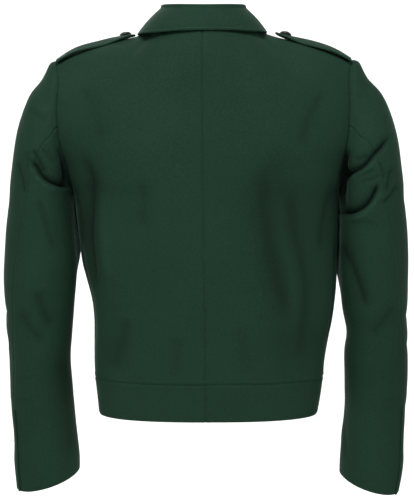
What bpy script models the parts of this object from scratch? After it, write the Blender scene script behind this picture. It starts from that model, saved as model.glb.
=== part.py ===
# Military blouson, worn form with no wearer: two backs, two fronts, two-piece sleeves,
# stand and fall collar, waistband, shoulder straps and their buttons.
# Metres in the scene, millimetres in the tables. +Z up, back towards +Y, wearer's left towards +X.
# The origin is the middle of the neck opening.

import functools
import math
from collections import namedtuple

import bmesh
import bpy
from mathutils import Matrix, Vector

MM = 0.001
CLOTH_WALL = 1.8
BAND_WALL = 2.6
STRAP_WALL = 3.0
SEAM_GAP = 0.3

# Body sections, from the hem up: height, half-width to the wearer's left and right,
# depth of the back and of the front, and how square the section is.
Level = namedtuple("Level", "height left right back front square")
BODY_LEVELS = (
    Level(-568, 160.5, 169.0, 104, 109, 2.50),
    Level(-549, 162.5, 172.0, 105, 110, 2.50),
    Level(-513, 166.0, 177.0, 108, 112, 2.50),
    Level(-489, 167.0, 179.0, 110, 113, 2.45),
    Level(-459, 167.0, 184.0, 111, 114, 2.45),
    Level(-429, 167.0, 190.0, 112, 115, 2.45),
    Level(-399, 170.0, 194.0, 112, 116, 2.35),
    Level(-369, 177.5, 196.5, 111, 118, 2.25),
    Level(-339, 185.0, 197.0, 111, 120, 2.2),
    Level(-300, 189.5, 197.5, 112, 123, 2.2),
    Level(-270, 192.8, 198.0, 114, 125, 2.2),
    Level(-238, 196.5, 199.0, 116, 126, 2.3),
    Level(-215, 204.0, 201.5, 117, 126, 2.50),
    Level(-195, 213.0, 207.5, 117, 124, 2.50),
    Level(-161, 230.0, 224.0, 117, 121, 2.50),
    Level(-126, 239.0, 231.5, 116, 117, 2.50),
    Level(-70, 241.0, 234.0, 114, 110, 2.50),
    Level(10, 243.0, 236.0, 112, 106, 2.50),
)

# Edge of the armhole, from the armpit up to the shoulder tip: height and the four edges' distance
# from the middle plane.
Edge = namedtuple("Edge", "height left_back left_front right_back right_front")
ARMHOLE_EDGES = (
    Edge(-238, 196.5, 196.5, 199.0, 199.0),
    Edge(-215, 201.5, 197.5, 199.6, 198.8),
    Edge(-195, 206.0, 199.5, 201.5, 199.5),
    Edge(-161, 214.0, 203.5, 208.0, 202.5),
    Edge(-126, 217.5, 207.0, 210.5, 205.0),
    Edge(-98, 217.5, 210.5, 211.0, 207.5),
    Edge(-70, 217.0, 214.5, 211.5, 210.0),
    Edge(-42, 222.0, 222.0, 217.0, 217.0),
)

# Shoulder seam from the neck point to the tip: distance from the middle plane and height.
Shoulder = namedtuple("Shoulder", "across height")
SHOULDER_LINE = (
    Shoulder(68, 7),
    Shoulder(101, -5),
    Shoulder(145, -15.5),
    Shoulder(185, -28.5),
    Shoulder(224, -42.5),
)

ARMPIT = -238
TIP = SHOULDER_LINE[-1].height + 0.5
BLADE = -200
BAND_SEAM = -513
HEM = -568
BAND_ROWS = (BAND_SEAM - SEAM_GAP / 2, -528, -541, -555, HEM)
BODY_ROWS = (-513, -489, -459, -429, -399, -369, -339, -312, -286, -262, -238)
ARMHOLE_STEPS = 12

NECK_HALF = 68
NECK_BACK = 62
NECK_FRONT = 78
NECK_BACK_HEIGHT = 8
NECK_SIDE_HEIGHT = 7
NECK_FRONT_HEIGHT = -66
NECK_SPREAD_BACK = 4

# Columns of a panel outside the lap: share of the width at the band seam and at the shoulder.
# The neck point lies on the fourth one.
Column = namedtuple("Column", "low high")
NECK_SHARE = 68 / 222
COLUMNS = (
    Column(0.185, NECK_SHARE * math.sin(math.radians(36))),
    Column(0.270, NECK_SHARE * math.sin(math.radians(54))),
    Column(0.355, NECK_SHARE * math.sin(math.radians(72))),
    Column(0.440, NECK_SHARE),
    Column(0.525, 0.410),
    Column(0.610, 0.510),
    Column(0.690, 0.610),
    Column(0.765, 0.705),
    Column(0.835, 0.790),
    Column(0.895, 0.865),
    Column(0.940, 0.925),
    Column(0.972, 0.965),
    Column(0.992, 0.990),
    Column(1.000, 1.000),
)

# How fully the top of the body rounds over, at the middle and from this far out.
BACK_ROUND = (2.5, 2.1)
FRONT_ROUND = (1.6, 2.15)
ROUND_REACH = 140
# Small steps along a panel, in columns and in rows, from which its facing is worked out.
STEP_ACROSS = 0.2
STEP_UP = 0.012
# How far from its sides and from its ends a panel's folds run out, in columns and per row.
FOLD_EDGE = 2
FOLD_END = 3
CENTRE_SEAM_TOP = 5
LAP_HALF = NECK_HALF * math.sin(math.radians(18))
LAP_RUN = 16

# Soft troughs in the cloth, seen from behind or from the front: which face, both ends, how far the
# middle bows to the side, width and depth. A depth below nothing is a ridge.
Fold = namedtuple("Fold", "face x0 z0 x1 z1 bow width depth")
BODY_FOLDS = (
    Fold(1, -88, -190, -132, -430, 15, 15, 4.0),
    Fold(1, -127, -220, -147, -492, -14, 13, 3.5),
    Fold(1, -110, -260, -142, -450, 2, 9, -1.8),
    Fold(1, 180, -196, 168, -400, 5, 12, 3.2),
    Fold(1, 116, -415, 140, -505, 3, 15, 2.4),
    Fold(1, 94, -215, 94, -305, 0, 12, 1.8),
    Fold(-1, 150, -225, 128, -400, -8, 14, 3.5),
    Fold(-1, -155, -235, -128, -420, 8, 14, 3.5),
    Fold(-1, 70, -330, 88, -500, 4, 15, 2.6),
    Fold(-1, -78, -350, -92, -500, -4, 15, 2.6),
)
LEFT_SLEEVE_FOLDS = (
    Fold(1, 262, -170, 207, -229, -12, 9, 4.5),
    Fold(1, 257, -166, 222, -192, -5, 7, -2.5),
    Fold(1, 246, -300, 222, -352, 4, 12, 2.6),
    Fold(-1, 262, -165, 208, -235, -10, 10, 4.0),
    Fold(-1, 276, -360, 222, -395, -6, 11, 3.6),
    Fold(-1, 272, -405, 226, -424, -4, 11, 3.0),
)
RIGHT_SLEEVE_FOLDS = (
    Fold(1, -207, -214, -282, -136, 10, 9, 4.5),
    Fold(1, -206, -268, -288, -188, 14, 11, 5.0),
    Fold(1, -222, -236, -262, -204, 6, 8, -2.5),
    Fold(1, -214, -300, -238, -392, -4, 12, 2.6),
    Fold(-1, -262, -165, -208, -235, 10, 10, 4.0),
    Fold(-1, -276, -360, -222, -395, 6, 11, 3.6),
    Fold(-1, -272, -405, -226, -424, 4, 11, 3.0),
)

# Sleeve rings from the armhole to the hem: the outer and the inner point as distance from the middle
# plane and height, half the depth, the middle's place in depth, how much lower the ring is behind,
# where the hind and the front seam lie round it, in degrees from the outer point over the back, and
# how far the front of the inner side swells towards the body.
Ring = namedtuple("Ring", "outer outer_z inner inner_z depth middle drop hind front swell")
LEFT_RINGS = (
    Ring(222.0, -43, 197.0, -238, 60, -3, 0, 90, 240, 0),
    Ring(232.0, -49, 198.2, -240, 62, -2, 0, 88, 239, 0),
    Ring(244.5, -71, 198.8, -244, 65, 0, 0, 85, 238, 3),
    Ring(262.0, -93, 199.0, -249, 67, 2, 0, 82, 237, 8),
    Ring(275.5, -130, 198.4, -259, 68, 3, 0, 77, 236, 12),
    Ring(285.0, -170, 197.4, -274, 67, 4, 0, 72, 236, 15),
    Ring(290.0, -210, 196.2, -294, 66, 5, 0, 67, 236, 16),
    Ring(293.5, -250, 194.6, -316, 64, 5, 0, 62, 236, 17),
    Ring(299.0, -300, 193.0, -342, 62, 4, 0, 57, 236, 12),
    Ring(303.0, -350, 194.5, -373, 60, 1, 0, 52, 236, 0),
    Ring(302.5, -400, 197.5, -411, 58, -4, 0, 47, 236, 0),
    Ring(300.5, -446, 202.0, -451, 56, -9, 1, 45, 236, 0),
    Ring(297.0, -492, 204.0, -492, 54, -15, 2, 43, 236, 0),
    Ring(297.5, -541, 201.6, -537, 52, -21, 3, 42, 236, 0),
    Ring(296.6, -557, 201.0, -551, 51, -23, 4, 41, 236, 0),
    Ring(296.2, -568, 200.3, -561, 50, -25, 4, 41, 236, 0),
    Ring(294.0, -599, 198.5, -588, 49, -29, 5, 40, 236, 0),
    Ring(294.0, -630, 196.0, -613, 48, -32, 6, 40, 236, 0),
    Ring(293.0, -661, 193.8, -639, 47, -35, 8, 40, 236, 0),
    Ring(291.0, -690, 193.5, -662, 46, -38, 10, 40, 236, 0),
)
RIGHT_RINGS = (
    Ring(217.0, -43, 199.5, -238, 60, -3, 0, 90, 240, 0),
    Ring(229.5, -48, 200.8, -240, 62, -2, 0, 88, 239, 0),
    Ring(242.0, -69, 201.4, -244, 65, 0, 0, 85, 238, 3),
    Ring(262.5, -91, 201.8, -249, 67, 2, 0, 82, 237, 8),
    Ring(277.5, -123, 202.0, -260, 68, 3, 0, 78, 236, 12),
    Ring(288.5, -166, 202.0, -276, 67, 4, 0, 74, 236, 15),
    Ring(294.5, -212, 201.8, -296, 66, 5, 0, 70, 236, 17),
    Ring(298.0, -252, 201.6, -318, 64, 5, 0, 65, 236, 18),
    Ring(302.5, -303, 201.6, -344, 62, 4, 0, 58, 236, 17),
    Ring(304.0, -350, 202.6, -374, 60, 1, 0, 52, 236, 10),
    Ring(304.0, -400, 206.5, -409, 58, -4, 0, 47, 236, 3),
    Ring(305.5, -442, 213.0, -446, 56, -9, 1, 45, 236, 0),
    Ring(307.0, -483, 210.5, -480, 54, -15, 2, 43, 236, 0),
    Ring(307.0, -538, 211.5, -532, 52, -21, 3, 42, 236, 0),
    Ring(306.0, -554, 212.0, -547, 51, -23, 4, 41, 236, 0),
    Ring(304.8, -565, 212.2, -558, 50, -25, 4, 41, 236, 0),
    Ring(305.0, -597, 211.0, -586, 49, -29, 5, 40, 236, 0),
    Ring(304.5, -629, 208.0, -612, 48, -32, 6, 40, 236, 0),
    Ring(303.0, -662, 206.5, -642, 47, -35, 8, 40, 236, 0),
    Ring(297.5, -695, 206.0, -668, 46, -38, 10, 40, 236, 0),
)
BLEND_RINGS = 4
# The vent behind, from this ring down: how far round the top sleeve laps over, how close to the
# seam its step lies, both in degrees, and how far it is lifted.
VENT_RING = 15
VENT_LAP = 12
VENT_STEP = 2
VENT_LIFT = 3.0
RING_STEP = 3

# Collar, round from the middle of the front to the middle of the back: the angle, the height of the
# stand, how far the stand leans out, and the lower edge of the fall.
Collar = namedtuple("Collar", "angle stand lean edge_x edge_y edge_z")
COLLAR_SHIFT = 3
COLLAR_EDGE_SHIFT = 1.6
COLLAR_TILT = 0.015
COLLAR_ROUND = (
    Collar(3, 20, -4.0, 47, -113, -107),
    Collar(18, 21, -4.0, 62, -103, -86),
    Collar(36, 25, -5.5, 77, -84, -52),
    Collar(54, 29, -7.0, 89, -57, -22),
    Collar(72, 30.5, -8.0, 95, -28, -2.8),
    Collar(90, 32, -8.0, 97, 0, -0.8),
    Collar(108, 31.5, -6.5, 94.5, 28, -0.9),
    Collar(126, 30.5, -3.0, 86, 54, -0.9),
    Collar(144, 29.5, 0.5, 68, 72, -0.6),
    Collar(162, 28.5, 3.5, 38, 83, 0.6),
    Collar(180, 28, 4.5, 0, 86.5, 1.0),
)
# Section of the fall over the fold, outwards and up from the top of the stand.
FOLD_ROLL = ((-2.3, -0.4), (-0.6, 0.6), (1.6, 0.2), (3.3, -1.8), (4.2, -5.0))
FALL_ROWS = 5
STAND_ROWS = 3

# Shoulder strap along the shoulder from the neck end: distance from the middle plane, height of the
# top face, half its width.
Strap = namedtuple("Strap", "across top half")
LEFT_STRAP = (
    Strap(104, -2.4, 3),
    Strap(107, -2.2, 13),
    Strap(113, -2.4, 20),
    Strap(127, -4.4, 22),
    Strap(144, -7.8, 22.5),
    Strap(161, -11.8, 23),
    Strap(177, -15.4, 23.5),
    Strap(192, -20.6, 24),
    Strap(205, -27.6, 24.5),
    Strap(214, -33.4, 25),
    Strap(221.5, -38.4, 25),
)
RIGHT_STRAP = (
    Strap(104, 1.6, 3),
    Strap(107, 0.8, 13),
    Strap(112, -0.8, 20),
    Strap(125, -3.8, 22),
    Strap(140, -7.0, 22.5),
    Strap(155, -10.2, 23),
    Strap(172, -14.4, 23.5),
    Strap(188, -20.4, 24),
    Strap(201, -27.0, 24.5),
    Strap(209, -31.6, 25),
    Strap(216.5, -36.4, 25),
)
# The strap is crowned across, and its front and back edges drop away from the neck end, and a little
# less at the sewn end.
STRAP_ACROSS = (-1.0, -0.5, 0.0, 0.5, 1.0)
STRAP_CROWN = 1.4
STRAP_FRONT_DROP = 7.0
STRAP_BACK_DROP = 7.4
STRAP_DROP_BY = 0.42
STRAP_END_RISE = 0.45
BUTTON_RADIUS = 9.2
BUTTON_EDGE = 1.6
BUTTON_CROWN = 5.2
BUTTON_FOOT = 0.6
BUTTON_ARC = 5
BUTTON_STEPS = 24
BUTTON_FROM_TIP = 15

WOOL = (0.020, 0.052, 0.032)
BUTTON_METAL = (0.030, 0.030, 0.028)


def smooth(value):
    value = min(max(value, 0.0), 1.0)
    return value * value * (3 - 2 * value)


def between(rows, key, at, wanted):
    """Value of a table's column at a height or distance, on a smooth curve through its rows."""
    keys = [getattr(row, key) for row in rows]
    if keys[0] > keys[-1]:
        rows, keys = rows[::-1], keys[::-1]
    at = min(max(at, keys[0]), keys[-1])
    i = 0
    while i < len(keys) - 2 and at > keys[i + 1]:
        i += 1
    values = [getattr(row, wanted) for row in rows]
    span = keys[i + 1] - keys[i]
    part = (at - keys[i]) / span
    slopes = []
    for j in (i, i + 1):
        low, high = max(j - 1, 0), min(j + 1, len(keys) - 1)
        slopes.append((values[high] - values[low]) / (keys[high] - keys[low]) * span)
    start, end = values[i], values[i + 1]
    return (
        (2 * part**3 - 3 * part**2 + 1) * start
        + (part**3 - 2 * part**2 + part) * slopes[0]
        + (3 * part**2 - 2 * part**3) * end
        + (part**3 - part**2) * slopes[1]
    )


def neck_part(x):
    """How much of the neck's half-depth is left at this distance from the middle plane."""
    return math.sqrt(max(0.0, 1 - (x / NECK_HALF) ** 2))


def top_of(x, face):
    """Depth and height of the body's upper edge: the neck seam, then the shoulder seam."""
    x = abs(x)
    if x >= NECK_HALF:
        return 0.0, between(SHOULDER_LINE, "across", x, "height")
    if face > 0:
        height = NECK_SIDE_HEIGHT + (NECK_BACK_HEIGHT - NECK_SIDE_HEIGHT) * neck_part(x)
        return NECK_BACK * neck_part(x), height
    height = NECK_SIDE_HEIGHT + (NECK_FRONT_HEIGHT - NECK_SIDE_HEIGHT) * neck_part(x)
    return NECK_FRONT * neck_part(x), height


def body_point(x, z, face):
    """Point on the body's outer form at this place, on the back (face 1) or the front (face -1)."""
    half = between(BODY_LEVELS, "height", z, "left" if x > 0 else "right")
    depth = between(BODY_LEVELS, "height", z, "back" if face > 0 else "front")
    square = between(BODY_LEVELS, "height", z, "square")
    out = depth * max(0.0, 1 - abs(x / half) ** square) ** (1 / square)
    if z > BLADE:
        edge_height = top_of(x, face)[1]
        middle, side = BACK_ROUND if face > 0 else FRONT_ROUND
        fullness = middle + (side - middle) * min(1.0, abs(x) / ROUND_REACH)
        rise = min(1.0, (z - BLADE) / (edge_height - BLADE))
        spread = NECK_SPREAD_BACK if face > 0 else 0
        edge_depth = top_of(x / (1 + spread * (1 - rise)), face)[0]
        out = edge_depth + (out - edge_depth) * (1 - rise**fullness) ** (1 / fullness)
    return Vector((x, face * (out + SEAM_GAP / 2), z))


def armhole_edge(side, face, z):
    column = ("left" if side > 0 else "right") + ("_back" if face > 0 else "_front")
    return between(ARMHOLE_EDGES, "height", z, column)


def centre_seam(z):
    return CENTRE_SEAM_TOP * smooth((z - HEM) / (NECK_BACK_HEIGHT - HEM))


def column_place(side, face, start, column, row):
    """Distance from the middle plane of one of a panel's columns, by its row."""
    if column < len(start):
        return side * start[column]
    if row <= 0:
        z = low_height(row)
        edge = between(BODY_LEVELS, "height", z, "left" if side > 0 else "right")
    else:
        edge = armhole_edge(side, face, ARMPIT + (TIP - ARMPIT) * row)
    place = COLUMNS[column - len(start)]
    neck_edge = NECK_HALF / NECK_SHARE
    high = place.high if place.high > NECK_SHARE else place.high * neck_edge / edge
    share = place.low + (high - place.low) * smooth(row / 0.9)
    return side * edge * share


def column_between(side, face, start, column, row):
    """Distance from the middle plane at a column or between two of them."""
    low = min(int(column), len(start) + len(COLUMNS) - 2)
    near = column_place(side, face, start, low, row)
    far = column_place(side, face, start, low + 1, row)
    return near + (far - near) * (column - low)


def low_height(row):
    return ARMPIT + (ARMPIT - BODY_ROWS[0]) * row


def panel_place(side, face, start, column, row):
    """Place in X and Z on a panel, by its column and by its row: -1 band seam, 0 armpit, 1 top."""
    x = column_between(side, face, start, column, row)
    if row <= 0:
        return x, low_height(row)
    top = top_of(column_between(side, face, start, column, 1.0), face)[1]
    return x, ARMPIT + (top - ARMPIT) * row


def fold_depth(folds, point, normal):
    """How far the folds push the cloth in at this point."""
    total = 0.0
    for fold in folds:
        facing = smooth(fold.face * normal.y * 1.6)
        if facing == 0.0:
            continue
        run = Vector((fold.x1 - fold.x0, fold.z1 - fold.z0))
        length = run.length
        run.normalize()
        from_start = Vector((point.x - fold.x0, point.z - fold.z0))
        along = from_start.dot(run) / length
        held = min(max(along, 0.0), 1.0)
        side = from_start.dot(Vector((-run.y, run.x))) - fold.bow * 4 * held * (1 - held)
        past = (along - held) * length
        ends = smooth(min(held, 1 - held) * 4) if past == 0 else 0.0
        total += facing * fold.depth * ends * math.exp(-((side / fold.width) ** 2))
    return total


def surface_normal(point_at, column, row, columns):
    """Unit normal of a panel from small steps along it, pointing out of the garment."""
    left, right = max(column - STEP_ACROSS, 0), min(column + STEP_ACROSS, columns - 1)
    low, high = row - STEP_UP, min(row + STEP_UP, 1)
    along = point_at(right, row) - point_at(left, row)
    up = point_at(column, high) - point_at(column, low)
    normal = along.cross(up).normalized()
    point = point_at(column, row)
    return normal if normal.dot(Vector((point.x, point.y, NECK_HALF / 2))) > 0 else -normal


def wall_mesh(name, outer, inner):
    """A closed cloth wall between two grids of points of the same size."""
    rows, columns = len(outer), len(outer[0])
    form = bmesh.new()
    skins = [[[form.verts.new(p * MM) for p in row] for row in grid] for grid in (outer, inner)]
    for skin in skins:
        for i in range(rows - 1):
            for j in range(columns - 1):
                form.faces.new((skin[i][j], skin[i][j + 1], skin[i + 1][j + 1], skin[i + 1][j]))
    rim = [(0, j) for j in range(columns)]
    rim += [(i, columns - 1) for i in range(1, rows)]
    rim += [(rows - 1, j) for j in range(columns - 2, -1, -1)]
    rim += [(i, 0) for i in range(rows - 2, 0, -1)]
    for (i, j), (k, m) in zip(rim, rim[1:] + rim[:1]):
        form.faces.new((skins[0][i][j], skins[0][k][m], skins[1][k][m], skins[1][i][j]))
    bmesh.ops.recalc_face_normals(form, faces=form.faces)
    if form.calc_volume(signed=True) < 0:
        bmesh.ops.reverse_faces(form, faces=form.faces)
    mesh = bpy.data.meshes.new(name)
    form.to_mesh(mesh)
    form.free()
    mesh.shade_smooth()
    mesh.set_sharp_from_angle(angle=math.radians(50))
    return mesh


def material(name, colour, roughness, metallic):
    made = bpy.data.materials.new(name)
    made.use_nodes = True
    shader = made.node_tree.nodes["Principled BSDF"]
    shader.inputs["Base Color"].default_value = (*colour, 1.0)
    shader.inputs["Roughness"].default_value = roughness
    shader.inputs["Metallic"].default_value = metallic
    return made


def add_part(collection, name, mesh, colour=WOOL, roughness=0.9, metallic=0.0):
    mesh.materials.append(material(name, colour, roughness, metallic))
    obj = bpy.data.objects.new(name, mesh)
    collection.objects.link(obj)
    return obj


def body_rows():
    """Rows of a panel: -1 at the band seam, 0 at the armpit, 1 at the neck and shoulder."""
    low = [(z - ARMPIT) / (ARMPIT - BODY_ROWS[0]) for z in BODY_ROWS]
    high = [(1 - math.cos(math.pi * i / ARMHOLE_STEPS)) / 2 for i in range(1, ARMHOLE_STEPS + 1)]
    return low + high


def panel_grids(side, face, start, seam_at, shift_at):
    """Outer and inner points of a body panel, whose first columns lie at the distances in start."""
    columns = len(start) + len(COLUMNS)
    neck_point = len(start) + [place.high for place in COLUMNS].index(NECK_SHARE)

    def point_at(column, row):
        x, z = panel_place(side, face, start, column, row)
        return body_point(x + seam_at(z) * max(0.0, 1 - abs(x) / NECK_HALF), z, face)

    outer, inner = [], []
    for row in body_rows():
        outside, inside = [], []
        for column in range(columns):
            point = point_at(column, row)
            normal = surface_normal(point_at, column, row, columns)
            if column == 0 and face > 0:
                normal.x = 0
            if column == columns - 1 and row <= 0 or row == 1 and column >= neck_point:
                normal.y = 0
            normal.normalize()
            inwards = min(min(column, columns - 1 - column) / FOLD_EDGE, FOLD_END * (1 - abs(row)))
            push = fold_depth(BODY_FOLDS, point, normal) * smooth(inwards)
            point = point + normal * (shift_at(point.x) - push)
            if row == -1:
                point.z += SEAM_GAP / 2
            outside.append(point)
            inside.append(point - normal * CLOTH_WALL)
        outer.append(outside)
        inner.append(inside)
    return outer, inner


def add_backs(collection):
    start = (SEAM_GAP / 2, LAP_HALF)
    for side, name in ((1, "back_left"), (-1, "back_right")):
        grids = panel_grids(side, 1, start, centre_seam, lambda x: 0.0)
        add_part(collection, name, wall_mesh(name, *grids))


def lap_shift(side, x):
    """The left front lies over the right one where they lap."""
    lap = 1 - smooth((abs(x) - LAP_HALF) / LAP_RUN)
    return side * lap * (CLOTH_WALL + SEAM_GAP) / 2


def add_fronts(collection):
    start = (-LAP_HALF, -LAP_HALF / 2, 0.0, LAP_HALF / 2, LAP_HALF)
    for side, name in ((1, "front_left"), (-1, "front_right")):
        shift = functools.partial(lap_shift, side)
        grids = panel_grids(side, -1, start, lambda z: 0.0, shift)
        add_part(collection, name, wall_mesh(name, *grids))


def band_places(side, half):
    """Places round one half of the band: distance from the middle plane and face."""
    back = [SEAM_GAP / 2, LAP_HALF] + [half * place.low for place in COLUMNS[:-1]]
    front = [LAP_HALF, LAP_HALF / 2, 0.0, -LAP_HALF / 2, -LAP_HALF]
    places = [(side * x, 1) for x in back] + [(side * half, 0)]
    return places + [(side * x, -1) for x in back[:1:-1] + front]


def add_waistband(collection):
    """The band goes on down from the body, in two halves, the left lapped over the right in front."""
    thicker = (BAND_WALL + SEAM_GAP) / (CLOTH_WALL + SEAM_GAP)
    for side, name in ((1, "waistband_left"), (-1, "waistband_right")):
        outer, inner = [], []
        for z in BAND_ROWS:
            half = between(BODY_LEVELS, "height", z, "left" if side > 0 else "right")
            ring = [body_point(x, z, face) for x, face in band_places(side, half)]
            outside, inside = [], []
            for i, point in enumerate(ring):
                along = ring[min(i + 1, len(ring) - 1)] - ring[max(i - 1, 0)]
                normal = Vector((-along.y, along.x, 0)).normalized() * side
                if i == 0:
                    normal = Vector((0, 1, 0))
                if point.y < 0:
                    point = point + normal * lap_shift(side, point.x) * thicker
                outside.append(point)
                inside.append(point - normal * BAND_WALL)
            outer.append(outside)
            inner.append(inside)
        add_part(collection, name, wall_mesh(name, outer, inner))


def ring_point(side, ring, angle):
    """Point of a sleeve ring, by the angle from its outer point over the back."""
    turn = math.radians(angle)
    middle_x, middle_z = (ring.outer + ring.inner) / 2, (ring.outer_z + ring.inner_z) / 2
    x = middle_x + (ring.outer - ring.inner) / 2 * math.cos(turn)
    z = middle_z + (ring.outer_z - ring.inner_z) / 2 * math.cos(turn) - ring.drop * math.sin(turn)
    if 180 < angle % 360 < 270:
        x -= ring.swell * math.sin(2 * turn) ** 2
    return Vector((side * x, ring.middle + ring.depth * math.sin(turn), z))


def armhole_point(side, angle):
    """Point of the body's armhole edge that a sleeve's first ring is sewn to."""
    face = 1 if angle % 360 <= 180 else -1
    row = (1 + math.cos(math.radians(angle))) / 2
    x, z = panel_place(side, face, (), len(COLUMNS) - 1, row)
    return body_point(x, z, face) + Vector((side * SEAM_GAP, 0, 0))


def sleeve_angle(rings, first, last, steps, column, at):
    """Angle of a column at a ring: on the armhole's own points at first, evenly spaced further down."""
    ring = rings[at]
    start = {"front": ring.front - 360, "hind": ring.hind}[first]
    end = {"front": ring.front, "hind": ring.hind}[last]
    top_start = {"front": rings[0].front - 360, "hind": rings[0].hind}[first]
    top_end = {"front": rings[0].front, "hind": rings[0].hind}[last]
    even = start + (end - start) * column / steps
    top = top_start + (top_end - top_start) * column / steps
    share = smooth(at / BLEND_RINGS)
    return top + (even - top) * share


def sleeve_point(side, rings, at, angle):
    point = ring_point(side, rings[at], angle)
    held = 1 - smooth(at / BLEND_RINGS)
    if held > 0:
        nearest = armhole_point(side, angle) - ring_point(side, rings[0], angle)
        point = point + nearest * held
    return point


def sleeve_grids(side, rings, first, last, steps, folds):
    outer, inner = [], []
    lapped = last == "hind"
    for at in range(len(rings)):
        outside, inside = [], []
        lifted = lapped and at >= VENT_RING - 1
        half_gap = math.degrees(SEAM_GAP / 2 / rings[at].depth)
        for column in range(steps + 1):
            angle = sleeve_angle(rings, first, last, steps, column, at)
            if column == 0:
                angle += half_gap
            if column == steps:
                angle -= half_gap
                if lapped and at >= VENT_RING:
                    angle += VENT_LAP
            if lifted and column == steps - 1:
                angle = rings[at].hind - VENT_STEP
            point = sleeve_point(side, rings, at, angle)
            before = sleeve_point(side, rings, at, angle - RING_STEP)
            after = sleeve_point(side, rings, at, angle + RING_STEP)
            low, high = max(at - 1, 0), min(at + 1, len(rings) - 1)
            along = sleeve_point(side, rings, high, angle) - sleeve_point(side, rings, low, angle)
            normal = (after - before).cross(along).normalized()
            middle = (ring_point(side, rings[at], 0) + ring_point(side, rings[at], 180)) / 2
            if normal.dot(point - middle) < 0:
                normal = -normal
            if at == 0:
                normal.x = 0
                normal.normalize()
            push = fold_depth(folds, point, normal) * smooth(at / BLEND_RINGS)
            if lifted and column >= steps - 1:
                push -= VENT_LIFT
            point = point - normal * push
            outside.append(point)
            inside.append(point - normal * CLOTH_WALL)
        outer.append(outside)
        inner.append(inside)
    return outer, inner


def add_sleeves(collection):
    parts = (
        (1, LEFT_RINGS, LEFT_SLEEVE_FOLDS, "left"),
        (-1, RIGHT_RINGS, RIGHT_SLEEVE_FOLDS, "right"),
    )
    top_steps = (LEFT_RINGS[0].hind - LEFT_RINGS[0].front + 360) * ARMHOLE_STEPS // 180
    under_steps = 2 * ARMHOLE_STEPS - top_steps
    for side, rings, folds, word in parts:
        name = f"sleeve_{word}_top"
        grids = sleeve_grids(side, rings, "front", "hind", top_steps, folds)
        add_part(collection, name, wall_mesh(name, *grids))
        name = f"sleeve_{word}_under"
        grids = sleeve_grids(side, rings, "hind", "front", under_steps, folds)
        add_part(collection, name, wall_mesh(name, *grids))


def neck_seam(side, row):
    """Place of the neck seam at one row of the collar's table."""
    turn = math.radians(row.angle)
    face = -1 if row.angle < 90 else 1
    x = NECK_HALF * math.sin(turn)
    depth, height = top_of(min(x, NECK_HALF - 0.001), face)
    return Vector((side * x, face * depth, height + SEAM_GAP))


def collar_line():
    """The collar's rows in order from the right front round the back to the left front."""
    right = [(-1, row) for row in COLLAR_ROUND]
    left = [(1, row) for row in COLLAR_ROUND[-2::-1]]
    return right + left


def outwards(side, row):
    turn = math.radians(row.angle)
    return Vector((side * math.sin(turn), -math.cos(turn), 0))


def collar_shift(row):
    """How far the collar sits to the wearer's left, none of it where the collar meets in front."""
    return COLLAR_SHIFT * smooth((row.angle - 20) / 60)


def stand_top(side, row):
    seam = neck_seam(side, row)
    return seam + outwards(side, row) * row.lean + Vector((collar_shift(row), 0, row.stand))


def add_collar(collection):
    outer, inner = [], []
    for k in range(STAND_ROWS + 1):
        part = k / STAND_ROWS
        outside = []
        for side, row in collar_line():
            seam, top = neck_seam(side, row), stand_top(side, row)
            outside.append(seam.lerp(top, part))
        outer.append(outside)
        inside = [p - outwards(*place) * CLOTH_WALL for p, place in zip(outside, collar_line())]
        inner.append(inside)
    add_part(collection, "collar_stand", wall_mesh("collar_stand", outer, inner))

    sections = []
    tops = [stand_top(*place) for place in collar_line()]
    for j, (side, row) in enumerate(collar_line()):
        top, out = tops[j], outwards(side, row)
        along = tops[min(j + 1, len(tops) - 1)] - tops[max(j - 1, 0)]
        up = along.cross(out).normalized()
        if up.z < 0:
            up = -up
        clear = up * (CLOTH_WALL + SEAM_GAP)
        section = [top + clear + out * a + up * b for a, b in FOLD_ROLL]
        edge_x = side * row.edge_x + COLLAR_EDGE_SHIFT * collar_shift(row)
        edge = Vector((edge_x, row.edge_y, row.edge_z - COLLAR_TILT * edge_x))
        start = section[-1]
        section += [start.lerp(edge, k / FALL_ROWS) for k in range(1, FALL_ROWS + 1)]
        sections.append(section)
    outer, inner = [], []
    for k in range(len(sections[0])):
        outside, inside = [], []
        for j, section in enumerate(sections):
            nearby = sections[max(j - 1, 0)][k] - sections[min(j + 1, len(sections) - 1)][k]
            down = section[min(k + 1, len(section) - 1)] - section[max(k - 1, 0)]
            normal = nearby.cross(down).normalized()
            side, row = collar_line()[j]
            if k > 1 and normal.dot(outwards(side, row)) < 0 or k <= 1 and normal.z < 0:
                normal = -normal
            outside.append(section[k])
            inside.append(section[k] - normal * CLOTH_WALL)
        outer.append(outside)
        inner.append(inside)
    add_part(collection, "collar_fall", wall_mesh("collar_fall", outer, inner))


def strap_frame(table, across):
    """Top of a strap at a distance from the middle plane, and the slope of its top face there."""
    top = between(table, "across", across, "top")
    rise = between(table, "across", across + 1, "top") - between(table, "across", across - 1, "top")
    return top, math.atan2(rise, 2)


def add_straps(collection):
    for side, table, word in ((1, LEFT_STRAP, "left"), (-1, RIGHT_STRAP, "right")):
        outer, inner = [], []
        tip, end = table[0], table[-1]
        for row in table:
            slope = strap_frame(table, row.across)[1]
            down = Vector((-side * math.sin(slope), 0, math.cos(slope))) * -STRAP_WALL
            along = (row.across - tip.across) / (end.across - tip.across)
            arch = smooth(along / STRAP_DROP_BY) * (1 - STRAP_END_RISE * smooth(2 * along - 1))
            outside = []
            for part in STRAP_ACROSS:
                z = row.top - STRAP_CROWN * part * part * row.half / end.half
                z -= arch * (STRAP_BACK_DROP * max(part, 0) + STRAP_FRONT_DROP * max(-part, 0))
                outside.append(Vector((side * row.across, part * row.half, z)))
            outer.append(outside)
            inner.append([point + down for point in outside])
        name = f"shoulder_strap_{word}"
        add_part(collection, name, wall_mesh(name, outer, inner))
        add_button(collection, side, table, word)


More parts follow.
